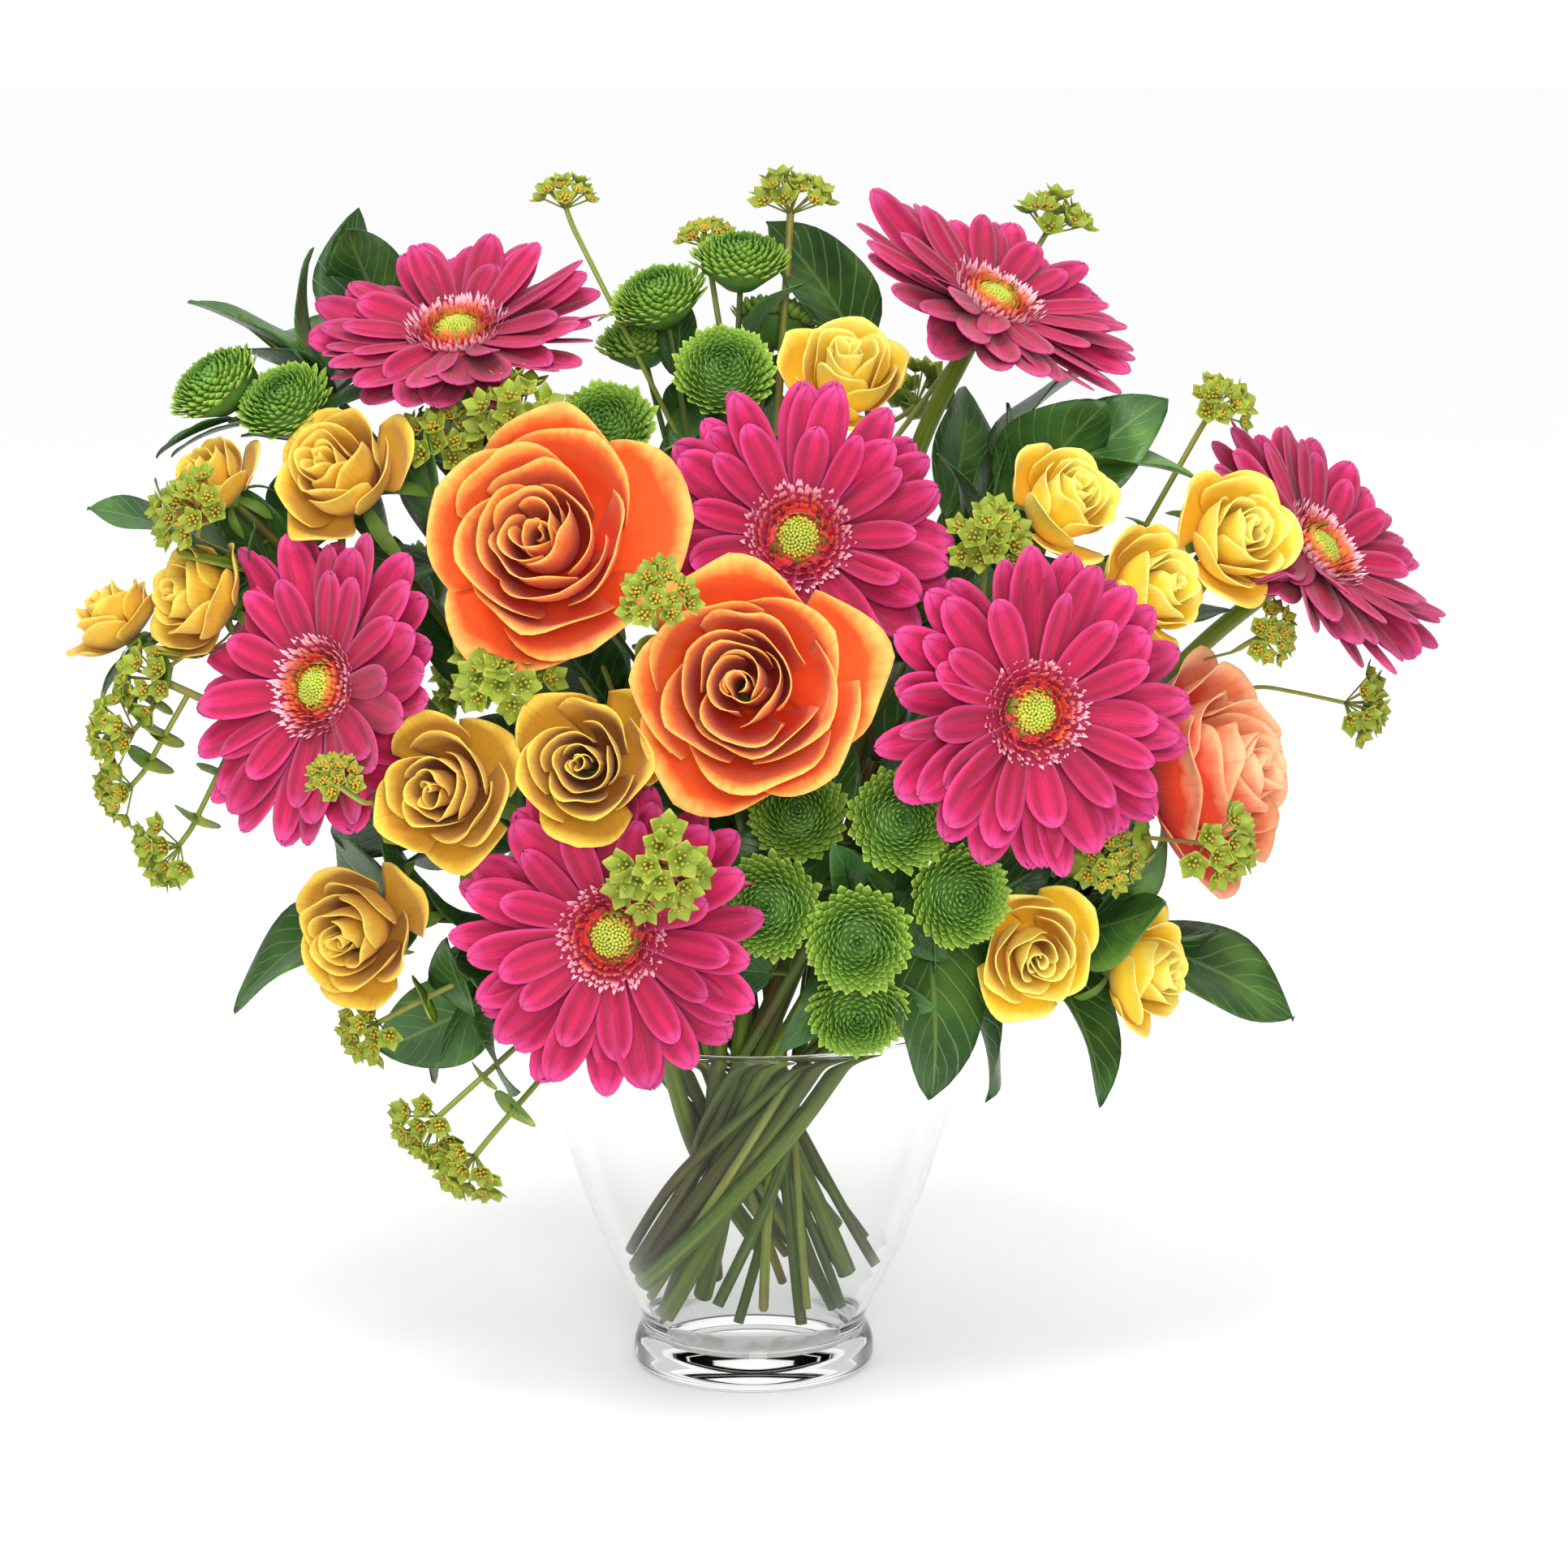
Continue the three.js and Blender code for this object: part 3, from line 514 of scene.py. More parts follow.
def crowns(node, slope):
    """The heads of a CAD node. The front of a head is a pole in the middle of an even ring, and
    slope is the pole's height above the ring over the ring's radius. Four corners of the ring are
    enough, as a neighbour may have cut the rest away. Returns (pole, facing, ring radius)."""
    found = []
    for pole, spokes in hubs(node, 4):
        length = np.linalg.norm(spokes, axis=1)
        alike = np.abs(length[:, None] - length[None]) < 0.06 * MM
        even = alike[np.argmax(alike.sum(1))]
        if even.sum() < 4:
            continue
        axis, _, _, spread = np.linalg.lstsq(spokes[even], -np.ones(even.sum()), rcond=None)
        height = 1 / max(np.linalg.norm(axis), 1e-9)
        radius = np.sqrt(max(length[even].mean() ** 2 - height**2, 1e-12))
        off = np.abs(spokes[even] @ axis + 1).max() * height
        if spread[2] > 1e-4 and off < 0.03 * MM and abs(height / radius / slope - 1) < 0.05:
            found.append((pole, axis * height, radius))
    return found


def upright(facing):
    """Two directions square to a facing and to each other, the second as near +Z as it can be."""
    side = np.cross(facing, [0.02, 0.01, 1.0])
    side /= np.linalg.norm(side)
    return -side, np.cross(side, facing)


def placed(corners, middle, facing):
    """Corners of a flower whose front is +Z, moved to its place and turned to its facing."""
    side, up = upright(facing)
    return middle + corners[..., :1] * side + corners[..., 1:2] * up + corners[..., 2:] * facing


def sheets(count, along, across, crowding=1.0):
    """A number of separate sheets: their index, t from 0 at the base to 1 at the tip, s from -1 to
    1 across, the faces, and uv with v along the sheet. Crowding over 1 brings rows to the tip."""
    i = np.arange(count)[:, None, None]
    t = (1 - (1 - np.linspace(0, 1, along)) ** crowding)[None, :, None]
    s = np.linspace(-1, 1, across)[None, None, :]
    a, b = np.arange(along - 1)[:, None], np.arange(across - 1)
    first = (i * along + a) * across + b
    quads = np.stack([first, first + across, first + across + 1, first + 1], -1).reshape(-1, 4)
    u, v = np.broadcast_arrays((s + 1) / 2, t)
    uv = np.broadcast_to(np.stack([u, v], -1), (count, along, across, 2)).reshape(-1, 2)
    return i, t, s, [quads], uv


def petal_width(t, base, widest):
    """How wide a petal is along its length, as a share: narrow at its base, widest at the given
    place, then round to the tip like the end of an ellipse."""
    rise = base + (1 - base) * np.sin(np.clip(t / widest, 0, 1) * np.pi / 2) ** 1.2
    fall = np.sqrt(np.clip(1 - (np.clip(t - widest, 0, 1) / (1.0 - widest)) ** 2, 0, 1))
    return rise * np.maximum(fall, 0.08)


def gerbera_rays(radius, eye, rng):
    """Three whorls of rays round the eye. A ray runs out from the eye and rises into a shallow
    cup. Across, it is a little hollow with two grooves, rolls about its length and bends aside.
    The whorl in front is shorter and stands up more. A whorl is its number of rays, their length
    over the radius, and their width and the heights of their bases and tips in millimetres."""
    parts, rows, columns = [], 11, 11
    whorls = [(19, 1.0, 14.4, -3.0, 3.0), (18, 0.94, 13.6, -0.5, 7.0), (13, 0.74, 11.0, 1.4, 10.0)]
    for w, (count, share, width, low, high) in enumerate(whorls):
        i, t, s, faces, uv = sheets(count, rows, columns, 1.5)
        vary = lambda amount: rng.normal(0, amount, (count, 1, 1))
        turn = (i + 0.5 * w + vary(0.16)) / count * TAU
        length = radius * share * (1 + np.clip(vary(0.05), -0.12, 0.04)) - eye * 0.5
        half = width * MM / 2 * (1 + vary(0.09)) * petal_width(t, 0.4, 0.66)
        notch = 1 - 0.03 * np.cos(s * np.pi * 1.5) ** 2 * t**8
        out = eye * 0.5 + length * t * notch
        aside = half * s + vary(0.045) * length * t**2
        roll = vary(0.22) + vary(0.14) * t
        hollow = (0.14 + vary(0.07)) * half * s**2
        grooves = -0.5 * MM * np.cos((s + 0.02) * TAU) * np.sin(np.pi * t) ** 0.5
        lift = (low + (high - low + vary(2.0)) * t**1.2 + vary(2.0) * t**2) * MM
        height = lift + hollow + grooves + aside * np.sin(roll)
        aside = aside * np.cos(roll)
        x = out * np.cos(turn) - aside * np.sin(turn)
        y = out * np.sin(turn) + aside * np.cos(turn)
        corners = np.stack([x, y, height], -1).reshape(-1, 3)
        tint = np.repeat(rng.uniform(0, 1, count), rows * columns)
        parts.append((corners, faces, uv, tint))
    return parts


def small_petals(count, turn, start, rise, length, width, lean, curl, along=5, across=3):
    """Many small petals. Each starts at a distance and a height from the flower's axis, leans out
    from the axis by lean and curls in by curl towards its tip; its edges turn up."""
    _, t, s, faces, uv = sheets(count, along, across)
    fit = lambda value: np.broadcast_to(value, count)[:, None, None]
    turn, start, rise, length = fit(turn), fit(start), fit(rise), fit(length)
    width, lean, curl = fit(width), fit(lean), fit(curl)
    half = width / 2 * petal_width(t, 0.5, 0.6)
    angle = lean - curl * t
    out = start + length * t * np.sin(angle) - half * s**2 * 0.35
    up = rise + length * t * np.cos(angle)
    x = out * np.cos(turn) - half * s * np.sin(turn)
    y = out * np.sin(turn) + half * s * np.cos(turn)
    return np.stack([x, y, up + 0 * s], -1).reshape(-1, 3), faces, uv


def gerbera_collar(eye, rng):
    """Rings of short florets round the eye, wide and pale-tipped outside, close and upright
    inside, on a bed that closes the middle. A ring is its number of florets, its radius over the
    eye's, the florets' length in millimetres, how far they lean out, and its tint."""
    bed, faces, uv = turned_surface([
        [0, -3 * MM], [eye * 0.95, -2 * MM], [eye * 0.9, 1.2 * MM], [eye * 0.5, 2.2 * MM],
        [0, 2.6 * MM],
    ], 24)
    parts = [(bed, faces, uv * [1, 0.2], 0.45)]
    rings = [(58, 1.04, 6.2, 1.25, 0.0), (54, 0.98, 5.6, 1.05, 0.06), (48, 0.87, 5.2, 0.9, 0.35),
             (42, 0.76, 5.0, 0.75, 0.55), (38, 0.66, 4.6, 0.5, 0.75), (32, 0.56, 4.4, 0.3, 0.95)]
    for count, share, length, lean, ring in rings:
        turn = (np.arange(count) + rng.normal(0, 0.25, count)) / count * TAU
        length = length * MM * (1 + rng.normal(0, 0.12, count))
        lean = lean + rng.normal(0, 0.1, count)
        start = eye * share - 3.0 * MM
        corners, faces, uv = small_petals(count, turn, start, 1.4 * MM, length, 1.5 * MM, lean, 0.5)
        parts.append((corners, faces, uv, ring))
    return parts


def buds(count, spread, rise, size, dome):
    """Small round buds in a spiral over a low dome: each is a lathe of a few rows, and its place
    is the golden turn and a distance that grows as the square root of its number."""
    n = np.arange(count)
    away = spread * np.sqrt((n + 0.5) / count)
    turn = n * GOLDEN
    bud, faces, uv = turned_surface([[0.8, -0.6], [1.0, 0.1], [0.65, 0.8], [0, 1.05]], 6)
    corners = bud[None] * size
    corners = corners + np.stack([
        away * np.cos(turn), away * np.sin(turn), rise + dome * (1 - (away / spread) ** 2),
    ], -1)[:, None]
    shift = np.arange(count)[:, None, None] * len(bud)
    faces = [(group[None] + shift).reshape(-1, group.shape[1]) for group in faces]
    uv = np.broadcast_to(uv, (count, *uv.shape)).reshape(-1, 2)
    return corners.reshape(-1, 3), faces, uv, np.repeat(away / spread, len(bud))


def calyx(radius, depth, neck, bracts, rng):
    """A green cup behind a flower, from the stalk out to the radius, with two rows of bracts."""
    bowl, faces, uv = turned_surface([
        [0, -depth], [neck, -depth], [radius * 0.62, -depth * 0.72], [radius * 0.95, -depth * 0.3],
        [radius, -depth * 0.05], [0, 0],
    ], 20)
    parts = [(bowl, faces, uv, 0.3)]
    for row in range(2):
        turn = (np.arange(bracts) + 0.5 * row) / bracts * TAU
        length = depth * (0.95 if row else 0.75) * (1 + rng.normal(0, 0.06, bracts))
        lean, curl = 1.0 - 0.15 * row, 0.75
        start = neck + 1.0 * MM + row * 0.5 * MM
        corners, faces, uv = small_petals(
            bracts, turn, start, -depth * 0.9, length * 1.25, radius * 0.34, lean, curl, 6, 3
        )
        parts.append((corners, faces, uv, rng.uniform(0, 1)))
    return parts


def thicken(piece, amount):
    """Gives a piece made of sheets its real thickness, half to each side."""
    wall = piece.modifiers.new("thickness", "SOLIDIFY")
    wall.thickness = amount
    wall.offset = 0
    wall.use_quality_normals = True


def petal_material(name, stops, edge_highlight, highlight_amount, deep):
    """A petal: stops colour it from base to tip, and streaks of a deeper colour run along it. The
    same deeper colour is painted into its two grooves as painted shade, and a lighter band along
    its sides and tip is a painted highlight. Each petal is a little lighter or darker than the
    next. Its skin is matt and faintly velvety."""
    material, tree, shader = new_material(name, Sheen_Weight=0.15, Specular_IOR_Level=0.28)
    uv = uv_of(tree)
    streaks = grouped(tree, FIBRES, Fineness=26.0, Length=1.6)["Streaks"]
    mottle = grouped(tree, MOTTLE, Patches=70.0)
    shade = ramp(tree, uv["Y"], stops)
    shade = mix(tree, ranged(tree, streaks, 0.45, 1.0, 0.0, 0.45), shade, colour(deep))
    # Painted shade: the deeper colour is laid into the ray's two grooves.
    groove_shade = calc(tree, "COSINE", calc(tree, "MULTIPLY", uv["X"], 2 * TAU))
    shade = mix(tree, ranged(tree, groove_shade, 0.1, -1.0, 0.0, 0.55), shade, colour(deep))
    # Painted highlight: a lighter pink band along the ray's sides and tip.
    side = calc(tree, "ABSOLUTE", calc(tree, "SUBTRACT", uv["X"], 0.5))
    at_side, at_tip = ranged(tree, side, 0.38, 0.5, 0.0, 0.7), ranged(tree, uv["Y"], 0.86, 1.0)
    highlight_band = calc(tree, "MULTIPLY", calc(tree, "MAXIMUM", at_side, at_tip), highlight_amount)
    shade = mix(tree, highlight_band, shade, colour(edge_highlight))
    own = ranged(tree, tint_of(tree), 0.0, 1.0, 0.86, 1.12)
    patch = ranged(tree, mottle["Patches"], 0.0, 1.0, 0.9, 1.06)
    shade = varied(tree, calc(tree, "MULTIPLY", own, patch), shade)
    surface(tree, shader, shade, streaks, mottle["Grain"], 0.22 * MM, 0.5, 0.72)
    return material


RAY = petal_material(
    "gerbera_pink",
    [(0.0, "74092c"), (0.2, "9c0c3a"), (0.6, "b8114a"), (1.0, "cc1c62")],
    # deep colours the streaks and is also painted into the grooves as shade; the lighter edge
    # colour is a painted highlight along the sides and tips.
    edge_highlight="e452a0", highlight_amount=0.6, deep="7c082c",
)


def collar_material():
    """Short florets, pink in the outermost ring and orange-red inside it, with pale tips."""
    material, tree, shader = new_material("gerbera_collar")
    uv, ring = uv_of(tree), tint_of(tree)
    mottle = grouped(tree, MOTTLE, Patches=300.0)
    body = ramp(tree, ring, [(0.0, "cc1f58"), (0.35, "cf2238"), (0.7, "d83a22"), (1.0, "e0702a")])
    tip = ramp(tree, ring, [(0.0, "fbc4d2"), (0.3, "f29a8c"), (0.6, "ee7a40"), (1.0, "eec84a")])
    shade = mix(tree, ranged(tree, uv["Y"], 0.35, 0.7), body, tip)
    surface(tree, shader, shade, uv["X"], mottle["Grain"], 0.1 * MM, 0.5, 0.7)
    return material


COLLAR = collar_material()


def green_material(name, low, high, tip, fineness=14.0):
    """Green plant skin: a low and a high green from base to tip along v, a tip colour at the very
    end, and streaks in its relief."""
    material, tree, shader = new_material(name, Specular_IOR_Level=0.35)
    streaks = grouped(tree, FIBRES, Fineness=fineness, Length=1.2)["Streaks"]
    mottle = grouped(tree, MOTTLE, Patches=120.0)
    body = ramp(tree, uv_of(tree)["Y"], [(0.0, low), (0.75, high), (1.0, tip)])
    shade = varied(tree, ranged(tree, mottle["Patches"], 0.0, 1.0, 0.8, 1.12), body)
    surface(tree, shader, shade, streaks, mottle["Grain"], 0.2 * MM, 0.45, 0.65)
    return material


EYE = green_material("gerbera_eye", "93a12e", "c3cf4a", "e6ea7c")
CALYX = green_material("flower_calyx", "5d7a2c", "6f8f35", "8ba348")


def make(name, parts, material, thickness=None):
    """One piece of several parts in one material."""
    corners, faces, uv, tint = joined(parts)
    piece = new_piece(name, corners, faces, material, uv, tint)
    if thickness:
        thicken(piece, thickness)
    return piece


def placed_parts(parts, middle, facing):
    """Every part moved to a flower's place."""
    return [(placed(corners, middle, facing), *rest) for corners, *rest in parts]


RING_SHARE = 0.66  # the radius of a CAD head's ring of corners over the head's own radius
MUM_SLOPE = 1.6 / 11.22


def rose_place(node, slope, deep):
    """Where a rose's CAD head is: its middle, facing, radius, crown and depth. The crown is five
    times as high as the pole stands over the ring, and the depth is deep times the radius."""
    pole, facing, ring = crowns(node, slope)[0]
    radius, crown = ring / RING_SHARE, ring * slope * 5
    return pole - facing * crown, facing, radius, crown, radius * deep


# The roses and chrysanthemums that the gerberas give way to, as (middle, facing, radius, height
# before the middle, depth behind it).
ORANGE_PLACES = [rose_place(f"orange_rose_{k}_head", 3.4 / 25.08, 30 / 38) for k in range(1, 4)]
YELLOW_PLACES = [rose_place(f"yellow_rose_{k}", 2.4 / 15.18, 20 / 23) for k in range(1, 14)]
MUM_PLACES = [
    (pole - facing * ring * 0.71, facing, ring / RING_SHARE, ring * 0.71, ring * 0.8)
    for spray in range(1, 5)
    for pole, facing, ring in crowns(f"button_mum_spray_{spray}", MUM_SLOPE)
]


def tucked(parts, places):
    """Parts that give way to other heads: what is inside one is moved to behind it. A head's room
    is half of one ellipsoid before its middle and half of another behind it, and a little more."""
    for corners, faces, uv, tint in parts:
        for middle, facing, radius, front, back in places:
            radius, back = 1.06 * radius, 1.12 * back
            off = corners - middle
            depth = off @ facing
            across = np.linalg.norm(off - depth[:, None] * facing, axis=1) / radius
            round_back = -back * np.sqrt(np.clip(1 - across**2, 0, 1))
            inside = (across < 1) & (depth > round_back) & (depth < -round_back * front / back)
            corners = corners + np.where(inside, round_back - depth, 0)[:, None] * facing
        yield corners, faces, uv, tint


GERBERA_CROWN = 6 * MM  # from the middle of a head to the pole in front
GERBERA_DEPTH = 17 * MM  # from the middle of a head to the neck of its stalk
GERBERA_PLACES = []
for number in range(1, 8):
    rng = np.random.default_rng(100 + number)
    head, stem = f"gerbera_{number}_head", f"gerbera_{number}_stem"
    pole, facing, ring = crowns(head, 1 / 11.2)[0]
    middle = pole - facing * GERBERA_CROWN
    off = solid_corners(head)[0] - middle
    radius = np.linalg.norm(off - np.outer(off @ facing, facing), axis=1).max()
    eye = ring * 1.4
    GERBERA_PLACES.append((middle, facing, radius, 10 * MM, 12 * MM))

    whorls = placed_parts(gerbera_rays(radius, eye, rng), middle, facing)
    nearby = ORANGE_PLACES + YELLOW_PLACES + MUM_PLACES
    rays = make(f"gerbera_{number}_rays", tucked(whorls, nearby), RAY, 0.35 * MM)
    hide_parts(head)
    florets = placed_parts(gerbera_collar(eye, rng), middle, facing)
    collar = make(f"gerbera_{number}_collar", florets, COLLAR)
    eye_parts = [buds(110, eye * 0.42, 3.4 * MM, 0.7 * MM, 2.2 * MM)]
    heart = make(f"gerbera_{number}_eye", placed_parts(eye_parts, middle, facing), EYE)
    bracts = placed_parts(calyx(13 * MM, GERBERA_DEPTH, 3.5 * MM, 22, rng), middle, facing)
    cup = make(f"gerbera_{number}_calyx", bracts, CALYX)

    line, thick, _ = main_line(stem)
    line = eased(np.concatenate([line, [middle - facing * (GERBERA_DEPTH - 1 * MM)]]))
    swell = thick * (1 + 0.12 * np.exp(-np.linspace(0, 9, len(line))))
    corners, faces, uv = tube(line, swell, 14)
    stalk = make(f"gerbera_{number}_stalk", [(corners, faces, uv, rng.uniform())], FLESHY_STEM)
    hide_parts(stem)

# ------------------------------------------------------------------------------------------------
# The leaves of the roses and chrysanthemums: dark green blades on short stalks, which the stems
# carry in turn to either side under their blooms. They fill the inside of the bouquet.
# ------------------------------------------------------------------------------------------------


def veins_group():
    """The midrib of a leaf and the side veins that leave it slanting. Wander moves them aside."""
    group, given, out = new_group("veins", {"Wander": 0.5}, ["Lines"])
    uv = uv_of(group)
    side = calc(group, "ABSOLUTE", calc(group, "SUBTRACT", uv["X"], 0.5))
    rib = ranged(group, side, 0.035, 0.008)
    rows = calc(group, "MULTIPLY_ADD", uv["Y"], 8.0, calc(group, "MULTIPLY", side, -5.5))
    moved = calc(group, "MULTIPLY_ADD", given["Wander"], 0.35, rows)
    away = calc(group, "SUBTRACT", calc(group, "FRACT", moved), 0.5)
    veins = ranged(group, calc(group, "ABSOLUTE", away), 0.09, 0.0)
    group.links.new(calc(group, "MAXIMUM", rib, veins), out["Lines"])
    return group


VEINS = veins_group()


def leaf_material(name, dark, middle, light, vein):
    """A leaf in mottled greens, with pale sunk veins. Each leaf is lighter or darker than the
    next."""
    material, tree, shader = new_material(name, Specular_IOR_Level=0.42)
    mottle = grouped(tree, MOTTLE, Patches=45.0)
    lines = grouped(tree, VEINS, Wander=mottle["Patches"])["Lines"]
    body = ramp(tree, mottle["Patches"], [(0.0, dark), (0.55, middle), (1.0, light)])
    body = varied(tree, ranged(tree, tint_of(tree), 0.0, 1.0, 0.72, 1.25), body)
    shade = mix(tree, calc(tree, "MULTIPLY", lines, 0.38), body, colour(vein))
    sunk = calc(tree, "MULTIPLY_ADD", lines, -1.0, 1.0)
    surface(tree, shader, shade, sunk, mottle["Grain"], 0.3 * MM, 0.3, 0.5)
    return material


OWN_LEAF = leaf_material("flower_leaf_green", "21471a", "325f22", "4c7a2c", "6f9648")


def leaf_blade(base, tip_way, face, length, width, rng):
    """One leaf blade from its base along tip_way, its upper side towards face. Its half-width is a
    pointed oval. It folds up from the midrib, arches by turning down along its length, twists a
    little, and its margin waves."""
    _, t, s, faces, uv = sheets(1, 15, 9)
    t, s = t[0], s[0]
    half = width / 2 * np.sin(np.pi * t**0.82) ** 0.78 * (1 - 0.12 * t)
    aside = half * s
    fold = rng.uniform(0.12, 0.4)
    arch = rng.uniform(0.08, 0.34) * length
    wave = 0.035 * width * np.sin(t * 9 + rng.uniform(0, 6) + s) * s**2
    up = fold * np.abs(aside) - arch * t**2 + wave + rng.normal(0, 0.12) * aside * t
    out = length * (t - 0.10 * t**3)
    across = np.cross(tip_way, face)
    across /= np.linalg.norm(across)
    face = np.cross(across, tip_way)
    corners = base + out[..., None] * tip_way + aside[..., None] * across + up[..., None] * face
    return corners.reshape(-1, 3), faces, uv, rng.uniform()


def petiole(start, end):
    """A short straight leaf stalk, 1.8 mm thick."""
    return (*tube(np.linspace(start, end, 4), 0.9 * MM, 6), 0.5)


def heart_of_bunch(spot):
    """The direction from the middle of the bouquet out to a spot."""
    out = spot - np.array([0, 0, 0.17])
    return out / np.linalg.norm(out)


def in_the_way(corners):
    """How many corners are inside a flower or less than 35 mm before one."""
    hidden = 0
    for middle, facing, radius, front, back in (
        ORANGE_PLACES + YELLOW_PLACES + GERBERA_PLACES + MUM_PLACES
    ):
        off = corners - middle
        depth = off @ facing
        across = np.linalg.norm(off - depth[:, None] * facing, axis=1)
        depth = depth / np.where(depth > 0, front + 35 * MM, back)
        hidden += int(((across / radius) ** 2 + depth**2 < 1).sum())
    return hidden


WAYS = 7
MOST_HIDDEN = 30


def leaves_along(line, count, size, rng, from_share=0.12, shape=0.62):
    """Leaves set alternately along a stalk, pointing up it and out to each side in turn. Shape is
    a leaf's width over its length. Of some ways a leaf could grow it takes the clearest, and it
    is left out where even that one has too many corners in the way."""
    blades, stalks = [], []
    for k in range(count):
        spot = int((from_share + (0.92 - from_share) * (k + 0.5) / count) * (len(line) - 2)) + 1
        here = line[spot]
        along = line[min(spot + 2, len(line) - 1)] - line[max(spot - 2, 0)]
        along /= np.linalg.norm(along)
        out = heart_of_bunch(here)
        best = None
        for _ in range(WAYS):
            side = np.cross(along, out) * (1 if k % 2 else -1)
            way = side * rng.uniform(0.3, 1.0) + along * rng.uniform(0.2, 0.9)
            way += out * rng.uniform(0.1, 0.9) + rng.normal(0, 0.25, 3)
            way /= np.linalg.norm(way)
            length = size * rng.uniform(0.75, 1.1)
            base = here + way * 6 * MM
            blade = leaf_blade(base, way, out + 0.5 * along, length, length * shape, rng)
            hidden = in_the_way(blade[0])
            if best is None or hidden < best[0]:
                best = hidden, blade, petiole(here, base + way * 2 * MM)
        if best[0] < MOST_HIDDEN:
            blades.append(best[1])
            stalks.append(best[2])
    return blades, stalks


def own_leaves(name, line, count, size, rng, shape=0.6):
    """Leaves of one flower stem, over the vase's rim and below its bloom."""
    above = line[line[:, 2] > rim_height + 12 * MM]
    blades, stalks = leaves_along(above, count, size, rng, 0.05, shape)
    if not blades:
        return []
    leaves = make(f"{name}_leaves", blades, OWN_LEAF, 0.35 * MM)
    return stalks


# ------------------------------------------------------------------------------------------------
# The roses. A bloom is a spiral of some twenty petals: those in the heart stand upright, wrapped
# round each other, and the outer ones lean out, with lips that roll back. Five sepals hold it.
# ------------------------------------------------------------------------------------------------


def rose_bloom(radius, crown, depth, count, rng):
    """A spiral of petals, each turned by about the golden turn from the last. Seen from the side,
    a petal's middle line is a cubic curve from the hip out to a belly and up to its lip. Petals
    near the heart close over it and are folded and wavy; outer ones open, and roll their lips
    back, most at the sides, which leaves a point in the middle. Each petal spans an angle about
    the axis and winds a little outwards along it."""
    rows, columns = 15, 17
    i, t, s, faces, uv = sheets(count, rows, columns)
    f = i / (count - 1)
    vary = lambda amount: rng.normal(0, amount, (count, 1, 1))
    turn = i * GOLDEN + vary(0.2)
    span = (1.5 - 0.72 * f**0.7 + 1.2 * np.exp(-9 * f)) * (1 + vary(0.07))
    reach = radius * (0.055 + 0.88 * f**0.9) * (1 + vary(0.035))
    top = crown * (1 - 0.22 * f) - (0.78 * crown + 0.2 * depth) * f**3.4
    top = top + vary(0.03) * radius
    w = t * (1 - (0.17 + 0.24 * f) * np.abs(s) ** 2.6)
    low, belly = 0.10 * radius, reach * (1.04 + 0.04 * f)
    shoulder, lip = reach * (1.16 - 0.10 * f), reach * (0.74 + 0.44 * f)
    k0, k1, k2, k3 = (1 - w) ** 3, 3 * w * (1 - w) ** 2, 3 * w**2 * (1 - w), w**3
    out = low * k0 + belly * k1 + shoulder * k2 + lip * k3
    base = -depth * (0.92 - 0.1 * f)
    up = base * k0 + (base * 0.72) * k1 + (top - 0.36 * (top - base)) * k2 + top * k3
    roll = np.clip((w - 0.7) / 0.3, 0, 1) ** 1.8
    roll = roll * (0.35 + 0.75 * f) * (0.6 + 0.6 * np.abs(s) ** 1.5)
    out = out + roll * radius * 0.14
    up = up - roll**1.5 * radius * 0.09
    point = np.clip(1 - np.abs(s) * 2.2, 0, 1) ** 1.5 * t**8 * f
    out, up = out + point * radius * 0.07, up + point * radius * 0.015
    waves = np.sin(s * rng.uniform(3.5, 6.5, (count, 1, 1)) + vary(3)) * t**3
    out = out + waves * radius * (0.020 + 0.016 * f)
    up = up + np.sin(s * rng.uniform(4, 7, (count, 1, 1)) + vary(3)) * t**4 * radius * 0.032
    crease = (1 - f) ** 2 * np.sin(s * 2.4 + vary(3)) * radius * 0.07 * t
    out = np.maximum(out + crease, 0.004 * radius)
    angle = turn + span * s * (0.5 + 0.5 * np.sin(np.clip(t * 1.5, 0, 1) * np.pi / 2))
    winding = 1 + (0.16 - 0.11 * f) * s
    shift = rng.normal(0, 0.014 * radius, (2, count, 1, 1)) * t * 1.5
    x = out * winding * np.cos(angle) + shift[0]
    y = out * winding * np.sin(angle) + shift[1]
    corners = np.stack([x, y, up + 0 * x], -1).reshape(-1, 3)
    return corners, faces, uv, np.repeat(f.ravel(), rows * columns)


def sepals(radius, depth, count, rng):
    """Narrow green sepals that leave the hip and curl back, and the round hip under the bloom."""
    hip, faces, uv = turned_surface([
        [0, -1.12 * depth], [0.1 * radius, -1.1 * depth], [0.2 * radius, -0.98 * depth],
        [0.19 * radius, -0.84 * depth], [0, -0.8 * depth],
    ], 14)
    turn = np.arange(count) / count * TAU + rng.uniform(0, 6)
    corners, leaf_faces, leaf_uv = small_petals(
        count, turn, 0.15 * radius, -0.92 * depth, 0.85 * radius * (1 + rng.normal(0, 0.08, count)),
        0.24 * radius, 1.5 + rng.normal(0, 0.15, count), -0.9, 8, 5
    )
    return [(hip, faces, uv, 0.2), (corners, leaf_faces, leaf_uv, 0.6)]


